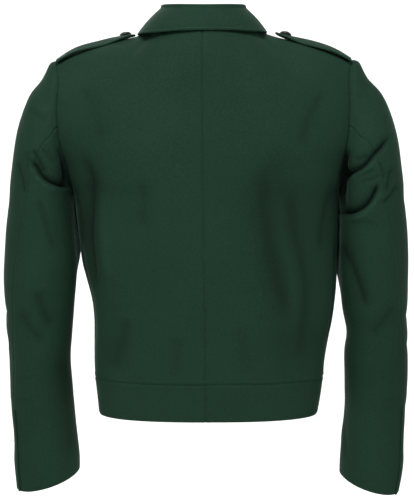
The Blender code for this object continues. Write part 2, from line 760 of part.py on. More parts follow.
def add_button(collection, side, table, word):
    """A domed button, turned about its own axis and set on the strap near its neck end."""
    name = f"strap_button_{word}"
    outline = [(0.0, BUTTON_CROWN)]
    for i in range(1, BUTTON_ARC + 1):
        turn = math.pi / 2 * i / BUTTON_ARC
        height = BUTTON_EDGE + (BUTTON_CROWN - BUTTON_EDGE) * math.cos(turn)
        outline.append((BUTTON_RADIUS * math.sin(turn), height))
    outline += [(BUTTON_RADIUS, BUTTON_FOOT), (BUTTON_RADIUS - BUTTON_FOOT, 0.0), (0.0, 0.0)]
    mesh = bpy.data.meshes.new(name)
    points = [(x * MM, 0.0, z * MM) for x, z in outline]
    mesh.from_pydata(points, [(i, i + 1) for i in range(len(points) - 1)], [])
    obj = add_part(collection, name, mesh, BUTTON_METAL, 0.35, 0.6)
    turned = obj.modifiers.new("turned", "SCREW")
    turned.steps = turned.render_steps = BUTTON_STEPS
    turned.use_merge_vertices = True
    turned.merge_threshold = 0.00001
    turned.use_smooth_shade = True
    across = table[0].across + BUTTON_FROM_TIP
    top, slope = strap_frame(table, across)
    up = Vector((-side * math.sin(slope), 0, math.cos(slope)))
    place = Vector((side * across, 0, top)) + up * SEAM_GAP
    obj.matrix_world = Matrix.Translation(place * MM) @ up.to_track_quat("Z", "Y").to_matrix().to_4x4()


def main():
    for obj in list(bpy.data.objects):
        bpy.data.objects.remove(obj, do_unlink=True)
    collection = bpy.data.collections.new("military_blouson")
    bpy.context.scene.collection.children.link(collection)
    add_backs(collection)
    add_fronts(collection)
    add_waistband(collection)
    add_sleeves(collection)
    add_collar(collection)
    add_straps(collection)


main()
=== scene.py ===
# A military blouson of deep bottle-green wool, filled out with no wearer and seen from behind.
# Metres in the scene, millimetres in the tables. +Z up, back towards +Y, wearer's left towards +X.
# The origin is the middle of the neck opening.
import math

import bmesh
import bpy
import numpy as np
from mathutils import Matrix, Vector


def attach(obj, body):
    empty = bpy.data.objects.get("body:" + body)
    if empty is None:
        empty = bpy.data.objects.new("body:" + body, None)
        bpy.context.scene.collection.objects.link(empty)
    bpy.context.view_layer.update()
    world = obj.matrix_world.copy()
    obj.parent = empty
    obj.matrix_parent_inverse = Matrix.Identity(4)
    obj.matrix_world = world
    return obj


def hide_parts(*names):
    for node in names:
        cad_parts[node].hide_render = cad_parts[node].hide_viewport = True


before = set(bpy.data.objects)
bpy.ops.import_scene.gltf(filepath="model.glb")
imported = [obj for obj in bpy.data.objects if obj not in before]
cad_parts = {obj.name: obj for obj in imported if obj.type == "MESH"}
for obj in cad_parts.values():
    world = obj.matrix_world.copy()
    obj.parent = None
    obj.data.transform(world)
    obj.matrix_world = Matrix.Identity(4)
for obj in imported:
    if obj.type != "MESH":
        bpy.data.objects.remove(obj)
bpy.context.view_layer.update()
print("frame loaded,", len(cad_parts), "nodes")

mm = 0.001
cloth = {"wall": 1.8, "bandWall": 2.6, "strapWall": 3.0, "seamLap": 0.5, "clear": 0.3}


def table(names, *rows):
    # one array for each named column, and the rows' own numbers under "step"
    columns = dict(zip(names.split(), np.array(rows, float).T))
    columns["step"] = np.arange(len(rows), dtype=float)
    return columns


def smooth(value):
    value = np.clip(value, 0, 1)
    return value * value * (3 - 2 * value)


def onCurve(columns, key, at, wanted):
    # a column's value at any place of another column, on a smooth curve through the rows
    keys, values = columns[key], columns[wanted]
    if keys[0] > keys[-1]:
        keys, values = keys[::-1], values[::-1]
    at = np.clip(at, keys[0], keys[-1])
    i = np.clip(np.searchsorted(keys, at) - 1, 0, len(keys) - 2)
    low, high = np.maximum(np.arange(len(keys)) - 1, 0), np.minimum(np.arange(len(keys)) + 1, len(keys) - 1)
    slopes = (values[high] - values[low]) / (keys[high] - keys[low])
    span = keys[i + 1] - keys[i]
    part = (at - keys[i]) / span
    return (
        (2 * part**3 - 3 * part**2 + 1) * values[i]
        + (part**3 - 2 * part**2 + part) * slopes[i] * span
        + (3 * part**2 - 2 * part**3) * values[i + 1]
        + (part**3 - part**2) * slopes[i + 1] * span
    )


def bell(distance, reach, place=0.0):
    # 1 at this place and falling away on both sides of it
    return np.exp(-(((distance - place) / reach) ** 2))


def packed(count, start=0.0, end=0.0, reach=0.04):
    # numbers from 0 to 1, closer together near either end
    even = np.linspace(0, 1, 2001)
    crowd = 1 + start * bell(even, reach) + end * bell(even, reach, 1)
    total = np.concatenate([[0], np.cumsum((crowd[1:] + crowd[:-1]) / 2)])
    return np.interp(np.linspace(0, total[-1], count), total, even)


def uneven(points, length, seed):
    # a slow swelling and sinking over the cloth, about -1 to 1, with waves of this length
    draw = np.random.default_rng(seed)
    total = np.zeros(points.shape[:-1])
    for _ in range(7):
        way = draw.normal(size=3)
        way *= 2 * math.pi / (np.linalg.norm(way) * length * draw.uniform(0.7, 1.5))
        total += np.sin(points @ way + draw.uniform(0, 2 * math.pi))
    return total / 4


def addObject(name, data):
    piece = bpy.data.objects.new(name, data)
    bpy.context.scene.collection.objects.link(piece)
    return piece


# Body sections from the hem up: half-widths to the wearer's left and right, depth behind and in front,
# and how square the section is.
bodyLevels = table(
    "height left right back front square",
    (-568, 160.5, 169.0, 104, 109, 2.50),
    (-549, 162.5, 172.0, 105, 110, 2.50),
    (-513, 166.0, 177.0, 108, 112, 2.50),
    (-489, 167.0, 179.0, 110, 113, 2.45),
    (-459, 167.0, 184.0, 111, 114, 2.45),
    (-429, 167.0, 190.0, 112, 115, 2.45),
    (-399, 170.0, 194.0, 112, 116, 2.35),
    (-369, 177.5, 196.5, 111, 118, 2.25),
    (-339, 185.0, 197.0, 111, 120, 2.2),
    (-300, 189.5, 197.5, 112, 123, 2.2),
    (-270, 192.8, 198.0, 114, 125, 2.2),
    (-238, 196.5, 199.0, 116, 126, 2.3),
    (-215, 204.0, 201.5, 117, 126, 2.50),
    (-195, 213.0, 207.5, 117, 124, 2.50),
    (-161, 230.0, 224.0, 117, 121, 2.50),
    (-126, 239.0, 231.5, 116, 117, 2.50),
    (-70, 241.0, 234.0, 114, 110, 2.50),
    (10, 243.0, 236.0, 112, 106, 2.50),
)
# Edge of the armhole from the armpit to the shoulder tip: distance from the middle plane.
armholeEdges = table(
    "height leftBack leftFront rightBack rightFront",
    (-238, 196.5, 196.5, 199.0, 199.0),
    (-215, 201.5, 197.5, 199.6, 198.8),
    (-195, 206.0, 199.5, 201.5, 199.5),
    (-161, 214.0, 203.5, 208.0, 202.5),
    (-126, 217.5, 207.0, 210.5, 205.0),
    (-98, 217.5, 210.5, 211.0, 207.5),
    (-70, 217.0, 214.5, 211.5, 210.0),
    (-42, 222.0, 222.0, 217.0, 217.0),
)
shoulderLine = table("across height", (68, 7), (101, -5), (145, -15.5), (185, -28.5), (224, -42.5))
body = {
    "armpit": -238,
    "tip": -42,
    "blade": -200,
    "bandSeam": -513,
    "hem": -568,
    "backFullness": (2.5, 2.1),
    "frontFullness": (1.6, 2.15),
    "fullnessReach": 140,
    "centreSeamTop": 5,
    "lapHalf": 68 * math.sin(math.radians(18)),
    "lapRun": 16,
}
neck = {"half": 68, "back": 62, "front": 78, "backZ": 8, "sideZ": 7, "frontZ": -66, "spread": 4, "ease": 8}


def sideWord(side):
    return "left" if side > 0 else "right"


def topEdge(x, face, ease=1.0):
    # depth and height of the body's upper edge: the neck seam, then the shoulder seam
    x = np.abs(x)
    part = np.sqrt(np.clip(1 - (x / neck["half"]) ** 2, 0, None))
    depth, middle = (neck["back"], neck["backZ"]) if face > 0 else (neck["front"], neck["frontZ"])
    seamZ = neck["sideZ"] + (middle - neck["sideZ"]) * part
    shoulderZ = onCurve(shoulderLine, "across", x, "height")
    return depth * part**ease, np.where(x < neck["half"], seamZ, shoulderZ)


def bodyPoint(x, z, face):
    # the body's outer form at these places, behind (1) or in front (-1)
    left, right = onCurve(bodyLevels, "height", z, "left"), onCurve(bodyLevels, "height", z, "right")
    half = np.where(x > 0, left, right)
    depth = onCurve(bodyLevels, "height", z, "back" if face > 0 else "front")
    square = onCurve(bodyLevels, "height", z, "square")
    out = depth * np.clip(1 - np.abs(x / half) ** square, 0, None) ** (1 / square)
    middle, side = body["backFullness"] if face > 0 else body["frontFullness"]
    fullness = middle + (side - middle) * smooth(np.abs(x) / body["fullnessReach"])
    rise = np.clip((z - body["blade"]) / (topEdge(x, face)[1] - body["blade"]), 0, 1)
    spread, ease = (neck["spread"], neck["ease"]) if face > 0 else (0, 0)
    edge = topEdge(x / (1 + spread * (1 - rise)), face, 1 + ease * (1 - rise))[0]
    edge = np.where(z > body["blade"], edge, 0)
    out = edge + (out - edge) * (1 - rise**fullness) ** (1 / fullness)
    return np.stack([x, face * (out - cloth["seamLap"] / 2), z], axis=-1)


def panelPlace(side, face, start, share, row):
    # places across and up a body panel: row -1 at the band seam, 0 at the armpit, 1 at the shoulder
    low = body["armpit"] + (body["armpit"] - body["bandSeam"]) * row
    high = body["armpit"] + (body["tip"] - body["armpit"]) * row
    column = sideWord(side) + ("Back" if face > 0 else "Front")
    edge = np.where(
        row <= 0,
        onCurve(bodyLevels, "height", low, sideWord(side)),
        onCurve(armholeEdges, "height", high, column),
    )
    tipEdge = onCurve(armholeEdges, "height", np.float64(body["tip"]), column)
    top = topEdge(start + (tipEdge - start) * share, face)[1]
    x = side * (start + (edge - start) * share)
    return x, np.where(row <= 0, low, body["armpit"] + (top - body["armpit"]) * row)


# Creases in the cloth: from where they are seen, depth (a ridge is less than nothing),
# width on either side of the line, and the line's points in that view.
def crease(seen, depth, wide, *line):
    return {"seen": seen, "depth": depth, "wide": wide, "line": np.array(line, float)}


bodyCreases = (
    crease("back", 2.6, (22, 16), (-84, -176), (-87, -269), (-102, -345), (-128, -430)),
    crease("back", 2.4, (13, 17), (-121, -208), (-129, -279), (-148, -366), (-141, -480), (-146, -500)),
    crease("back", -1.2, (12, 11), (-106, -235), (-113, -300), (-128, -368), (-137, -440)),
    crease("back", 5.0, (11, 12), (186, -170), (166, -212), (167, -263), (169, -302), (162, -389)),
    crease("back", -1.6, (10, 10), (150, -230), (150, -300), (143, -372)),
    crease("back", 2.2, (15, 13), (111, -412), (124, -455), (137, -500)),
    crease("back", 1.4, (12, 12), (92, -212), (90, -292)),
    crease("back", 1.2, (14, 14), (40, -440), (44, -505)),
    crease("back", 1.1, (16, 14), (-52, -420), (-60, -505)),
    crease("back", 2.2, (9, 12), (-193, -214), (-176, -268), (-170, -330)),
    crease("back", 1.5, (7, 9), (196, -226), (184, -262), (182, -318)),
    crease("back", 1.6, (13, 13), (-176, -80), (-150, -128), (-138, -176)),
    crease("back", 1.4, (13, 13), (182, -78), (160, -122), (150, -168)),
    crease("front", 3.6, (13, 15), (150, -222), (138, -300), (132, -400), (136, -455)),
    crease("front", 3.4, (15, 12), (-158, -232), (-140, -320), (-131, -420), (-138, -480)),
    crease("front", 2.4, (15, 13), (70, -330), (76, -420), (90, -503)),
    crease("front", 2.4, (13, 15), (-78, -350), (-84, -430), (-94, -503)),
    crease("front", 1.8, (12, 12), (106, -128), (128, -178), (138, -226)),
    crease("front", 1.8, (12, 12), (-112, -120), (-130, -172), (-142, -226)),
    crease("front", -1.4, (11, 11), (110, -260), (112, -360), (118, -450)),
    crease("front", 1.3, (14, 12), (-30, -400), (-36, -500)),
    crease("left", 2.4, (13, 13), (26, -300), (18, -380), (24, -470)),
    crease("left", 2.0, (12, 12), (-30, -330), (-38, -430), (-34, -500)),
    crease("right", 2.4, (13, 13), (22, -290), (30, -380), (22, -480)),
    crease("right", 2.0, (12, 12), (-34, -320), (-28, -420), (-36, -500)),
)
leftSleeveCreases = (
    crease(
        "back", 6.4, (2.6, 8),
        (257, -184), (253, -192), (247, -200), (238, -212),
        (227, -220), (217, -224), (205, -227), (192, -228),
    ),
    crease("back", -2.0, (5, 5), (257, -196), (249, -208), (239, -221), (227, -230), (214, -234)),
    crease("back", 2.8, (5, 6), (254, -171), (246, -184), (239, -196), (232, -208)),
    crease("back", 1.6, (4, 5), (239, -170), (229, -180), (217, -193)),
    crease("back", 3.2, (4, 6), (275, -189), (272, -206), (268, -223), (265, -240)),
    crease("back", 1.3, (4, 4), (260, -174), (260, -192), (260, -209)),
    crease("back", 1.9, (8, 8), (244, -239), (238, -262), (227, -298), (217, -324)),
    crease("back", 7.0, (3.2, 3.6), (212, -167), (209, -186), (206, -206), (204, -227)),
    crease("back", 3.0, (4, 8), (204, -227), (198, -259), (191, -292), (185, -324)),
    crease("back", 2.2, (12, 9), (217, -468), (211, -527), (207, -586), (204, -652)),
    crease("back", 0.9, (3, 4), (288, -545), (273, -548), (254, -549)),
    crease("back", 1.6, (7, 9), (258, -112), (246, -122), (232, -134)),
    crease("back", 2.6, (10, 14), (250, -378), (242, -402), (226, -440)),
    crease("back", 2.2, (11, 12), (278, -408), (262, -436), (236, -462)),
    crease("front", 4.2, (7, 12), (264, -160), (246, -190), (226, -214), (204, -228)),
    crease("front", 3.0, (8, 10), (276, -196), (252, -224), (216, -252)),
    crease("front", 3.8, (9, 12), (284, -352), (258, -378), (214, -392)),
    crease("front", 3.4, (8, 12), (288, -392), (262, -412), (216, -418)),
    crease("front", 2.6, (9, 11), (280, -432), (252, -450), (216, -448)),
    crease("front", -1.8, (10, 10), (270, -366), (246, -396), (224, -404)),
    crease("left", 2.4, (9, 12), (-34, -180), (-8, -232), (20, -262)),
    crease("left", 2.6, (9, 12), (-44, -372), (-18, -398), (18, -430)),
    crease("left", 2.2, (10, 11), (-52, -412), (-26, -440), (8, -470)),
    crease("left", 1.5, (13, 13), (-20, -500), (-30, -580), (-28, -650)),
)
rightSleeveCreases = (
    crease(
        "back", 6.4, (2.6, 7),
        (-190, -223), (-202, -216), (-215, -206), (-224, -201), (-234, -194),
        (-241, -186), (-249, -178), (-261, -167), (-273, -150),
    ),
    crease("back", -1.8, (4.5, 4.5), (-211, -217), (-221, -211), (-233, -204), (-243, -195), (-251, -187)),
    crease("back", 1.9, (3.5, 5), (-216, -188), (-227, -186), (-238, -181)),
    crease("back", 1.7, (3, 4), (-216, -214), (-230, -209), (-248, -202)),
    crease("back", 1.5, (3, 4), (-224, -220), (-242, -216), (-258, -209)),
    crease("back", 2.0, (3, 3.5), (-255, -189), (-257, -200), (-261, -209), (-258, -218)),
    crease(
        "back", 6.8, (2.6, 8),
        (-188, -271), (-201, -269), (-213, -266), (-222, -262),
        (-234, -254), (-243, -243), (-250, -231), (-255, -218),
    ),
    crease("back", -2.2, (5.5, 5.5), (-211, -276), (-226, -272), (-239, -262), (-249, -248), (-257, -233)),
    crease("back", 2.8, (5, 5), (-266, -237), (-269, -218), (-273, -198)),
    crease("back", 2.6, (4, 5), (-257, -253), (-270, -243), (-283, -226)),
    crease("back", 1.3, (5, 6), (-210, -282), (-230, -279), (-254, -284)),
    crease("back", 7.5, (4.5, 4.5), (-207, -168), (-203, -196), (-203, -218), (-203, -242), (-204, -266)),
    crease("back", 3.8, (7, 10), (-198, -301), (-205, -324), (-216, -351), (-227, -380), (-239, -412)),
    crease("back", 1.8, (6, 7), (-211, -498), (-209, -542), (-210, -586), (-214, -652)),
    crease("back", 0.9, (4, 3), (-294, -548), (-279, -549), (-260, -548)),
    crease("back", 2.2, (11, 12), (-284, -400), (-262, -428), (-240, -450)),
    crease("front", 4.2, (12, 7), (-264, -160), (-246, -190), (-226, -214), (-206, -228)),
    crease("front", 3.0, (10, 8), (-278, -200), (-252, -228), (-218, -254)),
    crease("front", 3.8, (12, 9), (-286, -356), (-260, -382), (-220, -396)),
    crease("front", 3.4, (12, 8), (-290, -396), (-262, -416), (-222, -424)),
    crease("front", 2.6, (11, 9), (-284, -436), (-254, -456), (-224, -452)),
    crease("front", -1.8, (10, 10), (-272, -370), (-248, -400), (-228, -408)),
    crease("right", 2.4, (9, 12), (-30, -170), (-4, -222), (22, -256)),
    crease("right", 2.6, (9, 12), (-42, -378), (-16, -404), (20, -438)),
    crease("right", 2.2, (10, 11), (-50, -420), (-24, -448), (10, -480)),
    crease("right", 1.5, (13, 13), (-24, -510), (-32, -590), (-30, -650)),
)
# Painted shade only: these lines darken the cloth's colour and leave its form alone, where the light
# hardly comes in, mostly between the body and a sleeve that lies against it.
paintedShadeLines = (
    crease(
        "back", 3.0, (9, 14),
        (213, -160), (207, -198), (203, -227), (197, -262), (190, -300), (184, -340),
    ),
    crease("back", 5.5, (6, 6), (-207, -160), (-203, -196), (-202, -222), (-202, -245), (-203, -276)),
    crease("back", 2.2, (10, 10), (-203, -240), (-202, -275), (-203, -310), (-206, -345)),
    # a broad painted shade down the right of the back
    crease("back", 1.3, (40, 40), (-100, -120), (-110, -300), (-115, -520)),
    crease("front", 3.0, (9, 9), (207, -180), (200, -225), (194, -300)),
    crease("front", 3.0, (9, 9), (-205, -180), (-200, -225), (-199, -300)),
)
# How strong the creases are, their section, how deep a crease is when its painted shade is darkest, and how
# far a ridge is painted lighter.
folding = {
    "body": 1.25,
    "sleeve": 1.3,
    "paintedShadeStrength": 1.45,
    "steep": 1.7,
    "tip": 0.05,
    "fade": 5,
    "facing": 2.4,
    "reach": 60,
    "paintedShadeDepth": 9.3,
    "ridge": -0.35,
}
views = {"back": (0, (0, 1, 0)), "front": (0, (0, -1, 0)), "left": (1, (1, 0, 0)), "right": (1, (-1, 0, 0))}


def creaseDepth(creases, points, normals, strength):
    # how far the creases push the cloth in at each point
    total = np.zeros(points.shape[:-1])
    for fold in creases:
        axis, towards = views[fold["seen"]]
        facing = smooth(folding["facing"] * (normals @ np.array(towards, float)))
        steps = np.linspace(0, len(fold["line"]) - 1, 6 * len(fold["line"]))
        asTable = table("across height", *fold["line"])
        line = np.stack([onCurve(asTable, "step", steps, word) for word in ("across", "height")], axis=-1)
        flat = np.stack([points[..., axis], points[..., 2]], axis=-1)
        reach = np.ptp(line, axis=0).max() + folding["reach"]
        near = (facing > 0) & (np.abs(flat - line.mean(0)).max(-1) < reach)
        if not near.any():
            continue
        spots = flat[near]
        runs = line[1:] - line[:-1]
        lengths = np.linalg.norm(runs, axis=1)
        before = np.concatenate([[0], np.cumsum(lengths)[:-1]])
        best, signed, along = np.full(len(spots), np.inf), np.zeros(len(spots)), np.zeros(len(spots))
        for start, run, length, passed in zip(line, runs, lengths, before):
            offset = spots - start
            held = np.clip(offset @ run / length**2, 0, 1)
            away = offset - held[:, None] * run
            distance = np.linalg.norm(away, axis=1)
            closer = distance < best
            best = np.where(closer, distance, best)
            signed = np.where(closer, run[0] * offset[:, 1] - run[1] * offset[:, 0], signed)
            along = np.where(closer, (passed + held * length) / lengths.sum(), along)
        wide = np.where(signed > 0, fold["wide"][0], fold["wide"][1])
        ends = smooth(np.minimum(along, 1 - along) * folding["fade"])
        spread = np.sqrt((best / wide) ** 2 + folding["tip"]) - folding["tip"] ** 0.5
        profile = np.exp(-spread * folding["steep"])
        total[near] += facing[near] * fold["depth"] * strength * ends * profile
    return total


def unitNormals(grid, inside):
    # unit normals of a grid of points, away from a point or line of points inside it
    normals = np.cross(np.gradient(grid, axis=1), np.gradient(grid, axis=0))
    normals /= np.maximum(np.linalg.norm(normals, axis=-1, keepdims=True), 1e-9)
    away = (normals * (grid - inside)).sum(-1).sum()
    return normals if away > 0 else -normals


def edgeDistances(grid):
    # distance along the cloth from the first and last column and from the first and last row
    across = np.linalg.norm(np.diff(grid, axis=1), axis=2)
    up = np.linalg.norm(np.diff(grid, axis=0), axis=2)
    first = np.concatenate([np.zeros((len(grid), 1)), np.cumsum(across, axis=1)], axis=1)
    low = np.concatenate([np.zeros((1, grid.shape[1])), np.cumsum(up, axis=0)], axis=0)
    return {"first": first, "last": first[:, -1:] - first, "low": low, "high": low[-1:] - low}


seam = {
    "reach": 1.7,
    "roll": 0.45,
    "rollPlace": 4.2,
    "rollWidth": 1.9,
    "pucker": 0.25,
    "puckerLength": 13,
    "puckerReach": 9,
    "seed": 40,
}


def seamDepth(grid, sides):
    # how far the cloth is drawn in along each sewn side, with slight puckers beside it
    away = edgeDistances(grid)
    total = np.zeros(grid.shape[:-1])
    for i, (side, sink) in enumerate(sides.items()):
        distance = away[side]
        total += sink * bell(distance, seam["reach"])
        total -= sink * seam["roll"] * bell(distance, seam["rollWidth"], seam["rollPlace"])
        ripple = uneven(grid, seam["puckerLength"], seam["seed"] + i)
        ripple *= np.exp(-distance / seam["puckerReach"])
        total += seam["pucker"] * sink * ripple * smooth(distance / seam["reach"])
    return total


def squareToMiddle(normals, away, reach=7.0):
    # the wall stands square to the middle plane where two halves are sewn together
    kept = 1 - bell(away["first"], reach)
    turned = normals * np.stack([kept, np.ones_like(kept), np.ones_like(kept)], axis=-1)
    return turned / np.linalg.norm(turned, axis=-1, keepdims=True)


def shellMesh(name, outer, inner, grain):
    # a closed wall of cloth between two grids of points, with the grain in metres as its UV map
    rows, columns = outer.shape[:2]
    count = rows * columns
    index = np.arange(count).reshape(rows, columns)
    quads = np.stack([index[:-1, :-1], index[:-1, 1:], index[1:, 1:], index[1:, :-1]], axis=-1).reshape(-1, 4)
    rim = np.concatenate([index[0, :], index[1:, -1], index[-1, -2::-1], index[-2:0:-1, 0]])
    following = np.roll(rim, -1)
    edge = np.stack([following, rim, rim + count, following + count], axis=-1)
    faces = np.concatenate([quads, quads[:, ::-1] + count, edge])
    points = np.concatenate([outer.reshape(-1, 3), inner.reshape(-1, 3)])
    middle = quads[len(quads) // 2 + (columns - 1) // 2]
    facing = np.cross(points[middle[1]] - points[middle[0]], points[middle[3]] - points[middle[0]])
    if facing @ (points[middle[0]] - points[middle[0] + count]) < 0:
        faces = faces[:, ::-1]
    mesh = bpy.data.meshes.new(name)
    mesh.from_pydata((points * mm).tolist(), [], faces.tolist())
    corners = np.empty(len(mesh.loops), np.int32)
    mesh.loops.foreach_get("vertex_index", corners)
    uv = np.concatenate([grain.reshape(-1, 2), grain.reshape(-1, 2)])[corners]
    mesh.uv_layers.new(name="grain").data.foreach_set("uv", uv.ravel())
    mesh.shade_smooth()
    return mesh


def clothPiece(name, outer, inner, node, creaseDepthAndPaintedShade=None, stitched=()):
    # one cut piece in the scene, in place of its solid, with its stitching; the depth of its creases goes
    # along as a painted shade, darker in the troughs and lighter on the ridges
    away = edgeDistances(outer)
    mesh = shellMesh(name, outer, inner, np.stack([away["first"], away["low"]], axis=-1) * mm)
    depth = np.zeros(outer.shape[:2]) if creaseDepthAndPaintedShade is None else creaseDepthAndPaintedShade
    # painted shade: the colour darkens with the depth of a crease or gap and lightens a little on a ridge
    shade = np.clip(depth / folding["paintedShadeDepth"], folding["ridge"], 1)
    mask = mesh.attributes.new("creaseDepthAndPaintedShade", "FLOAT", "POINT")
    mask.data.foreach_set("value", np.tile(shade.ravel(), 2))
    mesh.materials.append(woolMaterial)
    piece = addObject(name, mesh)
    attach(piece, "root")
    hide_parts(node)
    trims = [addStitches(name + "Stitches", stitched)] if stitched else []


def nodeGroup(name, inputs, outputs):
    group = bpy.data.node_groups.new(name, "ShaderNodeTree")
    for word, kind, value in inputs:
        socket = group.interface.new_socket(name=word, in_out="INPUT", socket_type=kind)
        if value is not None:
            socket.default_value = value
    for word, kind in outputs:
        group.interface.new_socket(name=word, in_out="OUTPUT", socket_type=kind)
    return group


def addNode(tree, kind, place=(0, 0), **settings):
    node = tree.nodes.new(kind)
    node.location = place
    for word, value in settings.items():
        setattr(node, word, value)
    return node


def mathNode(tree, operation, first, second=None, third=None):
    node = addNode(tree, "ShaderNodeMath", operation=operation)
    for socket, value in zip(node.inputs, (first, second, third)):
        if isinstance(value, bpy.types.NodeSocket):
            tree.links.new(value, socket)
        elif value is not None:
            socket.default_value = value
    return node.outputs[0]


def noiseNode(tree, vector, scale, detail=3.0, roughness=0.55):
    node = addNode(tree, "ShaderNodeTexNoise")
    node.inputs["Scale"].default_value = scale
    node.inputs["Detail"].default_value = detail
    node.inputs["Roughness"].default_value = roughness
    tree.links.new(vector, node.inputs["Vector"])
    return node.outputs["Fac"]


def rampNode(tree, shade, dark, light, ends=(0.0, 1.0)):
    # the colour between two, by a shade from 0 to 1
    node = addNode(tree, "ShaderNodeValToRGB", (-400, 200))
    for element, place, colour in zip(node.color_ramp.elements, ends, (dark, light)):
        element.position = place
        element.color = (*colour, 1)
    tree.links.new(shade, node.inputs["Fac"])
    return node.outputs["Color"]


def bumpNode(tree, height, strength, distance):
    node = addNode(tree, "ShaderNodeBump", (-300, -300))
    node.inputs["Strength"].default_value = strength
    node.inputs["Distance"].default_value = distance
    tree.links.new(height, node.inputs["Height"])
    return node.outputs["Normal"]


def startMaterial(name):
    material = bpy.data.materials.new(name)
    material.use_nodes = True
    return material, material.node_tree, material.node_tree.nodes["Principled BSDF"]


def twillWeave():
    # fine twill from a grain map in metres: height of the threads and nap, and a fleck in their shade
    group = nodeGroup(
        "twill weave",
        [("Grain", "NodeSocketVector", None), ("Place", "NodeSocketVector", None),
         ("Thread", "NodeSocketFloat", 0.55), ("Nap", "NodeSocketFloat", 0.6)],
        [("Height", "NodeSocketFloat"), ("Fleck", "NodeSocketFloat")],
    )
    tree = group
    source = addNode(tree, "NodeGroupInput")
    result = addNode(tree, "NodeGroupOutput")
    split = addNode(tree, "ShaderNodeSeparateXYZ")
    tree.links.new(source.outputs["Grain"], split.inputs[0])
    turn = mathNode(tree, "DIVIDE", 2000 * math.pi, source.outputs["Thread"])
    across = mathNode(tree, "MULTIPLY", split.outputs["X"], turn)
    up = mathNode(tree, "MULTIPLY", split.outputs["Y"], turn)
    warp = mathNode(tree, "SINE", across)
    line = mathNode(tree, "SINE", mathNode(tree, "MULTIPLY", mathNode(tree, "ADD", across, up), 0.5))
    warpPart, linePart = mathNode(tree, "MULTIPLY", warp, 0.35), mathNode(tree, "MULTIPLY", line, 0.65)
    threads = mathNode(tree, "MULTIPLY_ADD", mathNode(tree, "ADD", warpPart, linePart), 0.5, 0.5)
    fuzz = noiseNode(tree, source.outputs["Place"], 1500.0, 4.0, 0.7)
    napped = addNode(tree, "ShaderNodeMix")
    tree.links.new(source.outputs["Nap"], napped.inputs["Factor"])
    tree.links.new(threads, napped.inputs["A"])
    tree.links.new(fuzz, napped.inputs["B"])
    fleck = noiseNode(tree, source.outputs["Place"], 420.0, 5.0, 0.75)
    tree.links.new(napped.outputs["Result"], result.inputs["Height"])
    tree.links.new(fleck, result.inputs["Fleck"])
    return group


def softWear():
    # slow change of shade over the cloth, from handling and pressing
    group = nodeGroup(
        "soft wear",
        [("Place", "NodeSocketVector", None), ("Size", "NodeSocketFloat", 9.0)],
        [("Mask", "NodeSocketFloat")],
    )
    source = addNode(group, "NodeGroupInput")
    result = addNode(group, "NodeGroupOutput")
    node = addNode(group, "ShaderNodeTexNoise")
    node.inputs["Detail"].default_value = 4.0
    group.links.new(source.outputs["Place"], node.inputs["Vector"])
    group.links.new(source.outputs["Size"], node.inputs["Scale"])
    group.links.new(node.outputs["Fac"], result.inputs["Mask"])
    return group


weaveGroup = twillWeave()
wearGroup = softWear()

wool = {
    "deep": (0.0043, 0.0180, 0.0094),
    "light": (0.0107, 0.0355, 0.0208),
    "roughness": 0.88,
    "fleck": 1.5,
    "paintedCreaseShade": 0.85,
    "specular": 0.12,
    "sheen": 0.08,
    "sheenTint": (0.35, 0.70, 0.50),
    "thread": 0.62,
    "nap": 0.55,
    "bump": 0.30,
}


def bottleGreenWool():
    material, tree, shader = startMaterial("bottle green wool")
    grain = addNode(tree, "ShaderNodeUVMap", (-1200, 200), uv_map="grain")
    place = addNode(tree, "ShaderNodeTexCoord", (-1200, -100))
    weave = addNode(tree, "ShaderNodeGroup", (-900, 200), node_tree=weaveGroup)
    weave.inputs["Thread"].default_value = wool["thread"]
    weave.inputs["Nap"].default_value = wool["nap"]
    tree.links.new(grain.outputs["UV"], weave.inputs["Grain"])
    tree.links.new(place.outputs["Object"], weave.inputs["Place"])
    wear = addNode(tree, "ShaderNodeGroup", (-900, -100), node_tree=wearGroup)
    tree.links.new(place.outputs["Object"], wear.inputs["Place"])
    shade = mathNode(tree, "MULTIPLY_ADD", weave.outputs["Fleck"], wool["fleck"], 0.22 - wool["fleck"] / 2)
    shade = mathNode(tree, "MULTIPLY_ADD", wear.outputs["Mask"], 0.35, shade)
    shade = mathNode(tree, "MULTIPLY_ADD", weave.outputs["Height"], 0.30, shade)
    colour = rampNode(tree, shade, wool["deep"], wool["light"], (0.2, 0.8))
    # painted shade and light: each piece's crease mask darkens the colour in troughs and gaps and lightens it
    # on ridges
    creaseDepthAndPaintedShade = addNode(tree, "ShaderNodeAttribute", (-700, 400), attribute_name="creaseDepthAndPaintedShade")
    lit = mathNode(tree, "MULTIPLY_ADD", creaseDepthAndPaintedShade.outputs["Fac"], -wool["paintedCreaseShade"], 1.0)
    shaded = addNode(tree, "ShaderNodeVectorMath", (-150, 300), operation="SCALE")
    tree.links.new(colour, shaded.inputs[0])
    tree.links.new(lit, shaded.inputs["Scale"])
    tree.links.new(shaded.outputs[0], shader.inputs["Base Color"])
    rough = mathNode(tree, "MULTIPLY_ADD", weave.outputs["Fleck"], 0.16, wool["roughness"] - 0.08)
    tree.links.new(rough, shader.inputs["Roughness"])
    shader.inputs["Specular IOR Level"].default_value = wool["specular"]
    shader.inputs["Sheen Weight"].default_value = wool["sheen"]
    shader.inputs["Sheen Roughness"].default_value = 0.3
    shader.inputs["Sheen Tint"].default_value = (*wool["sheenTint"], 1)
    tree.links.new(bumpNode(tree, weave.outputs["Height"], wool["bump"], 0.0004), shader.inputs["Normal"])
    return material


woolMaterial = bottleGreenWool()
print("wool ready")

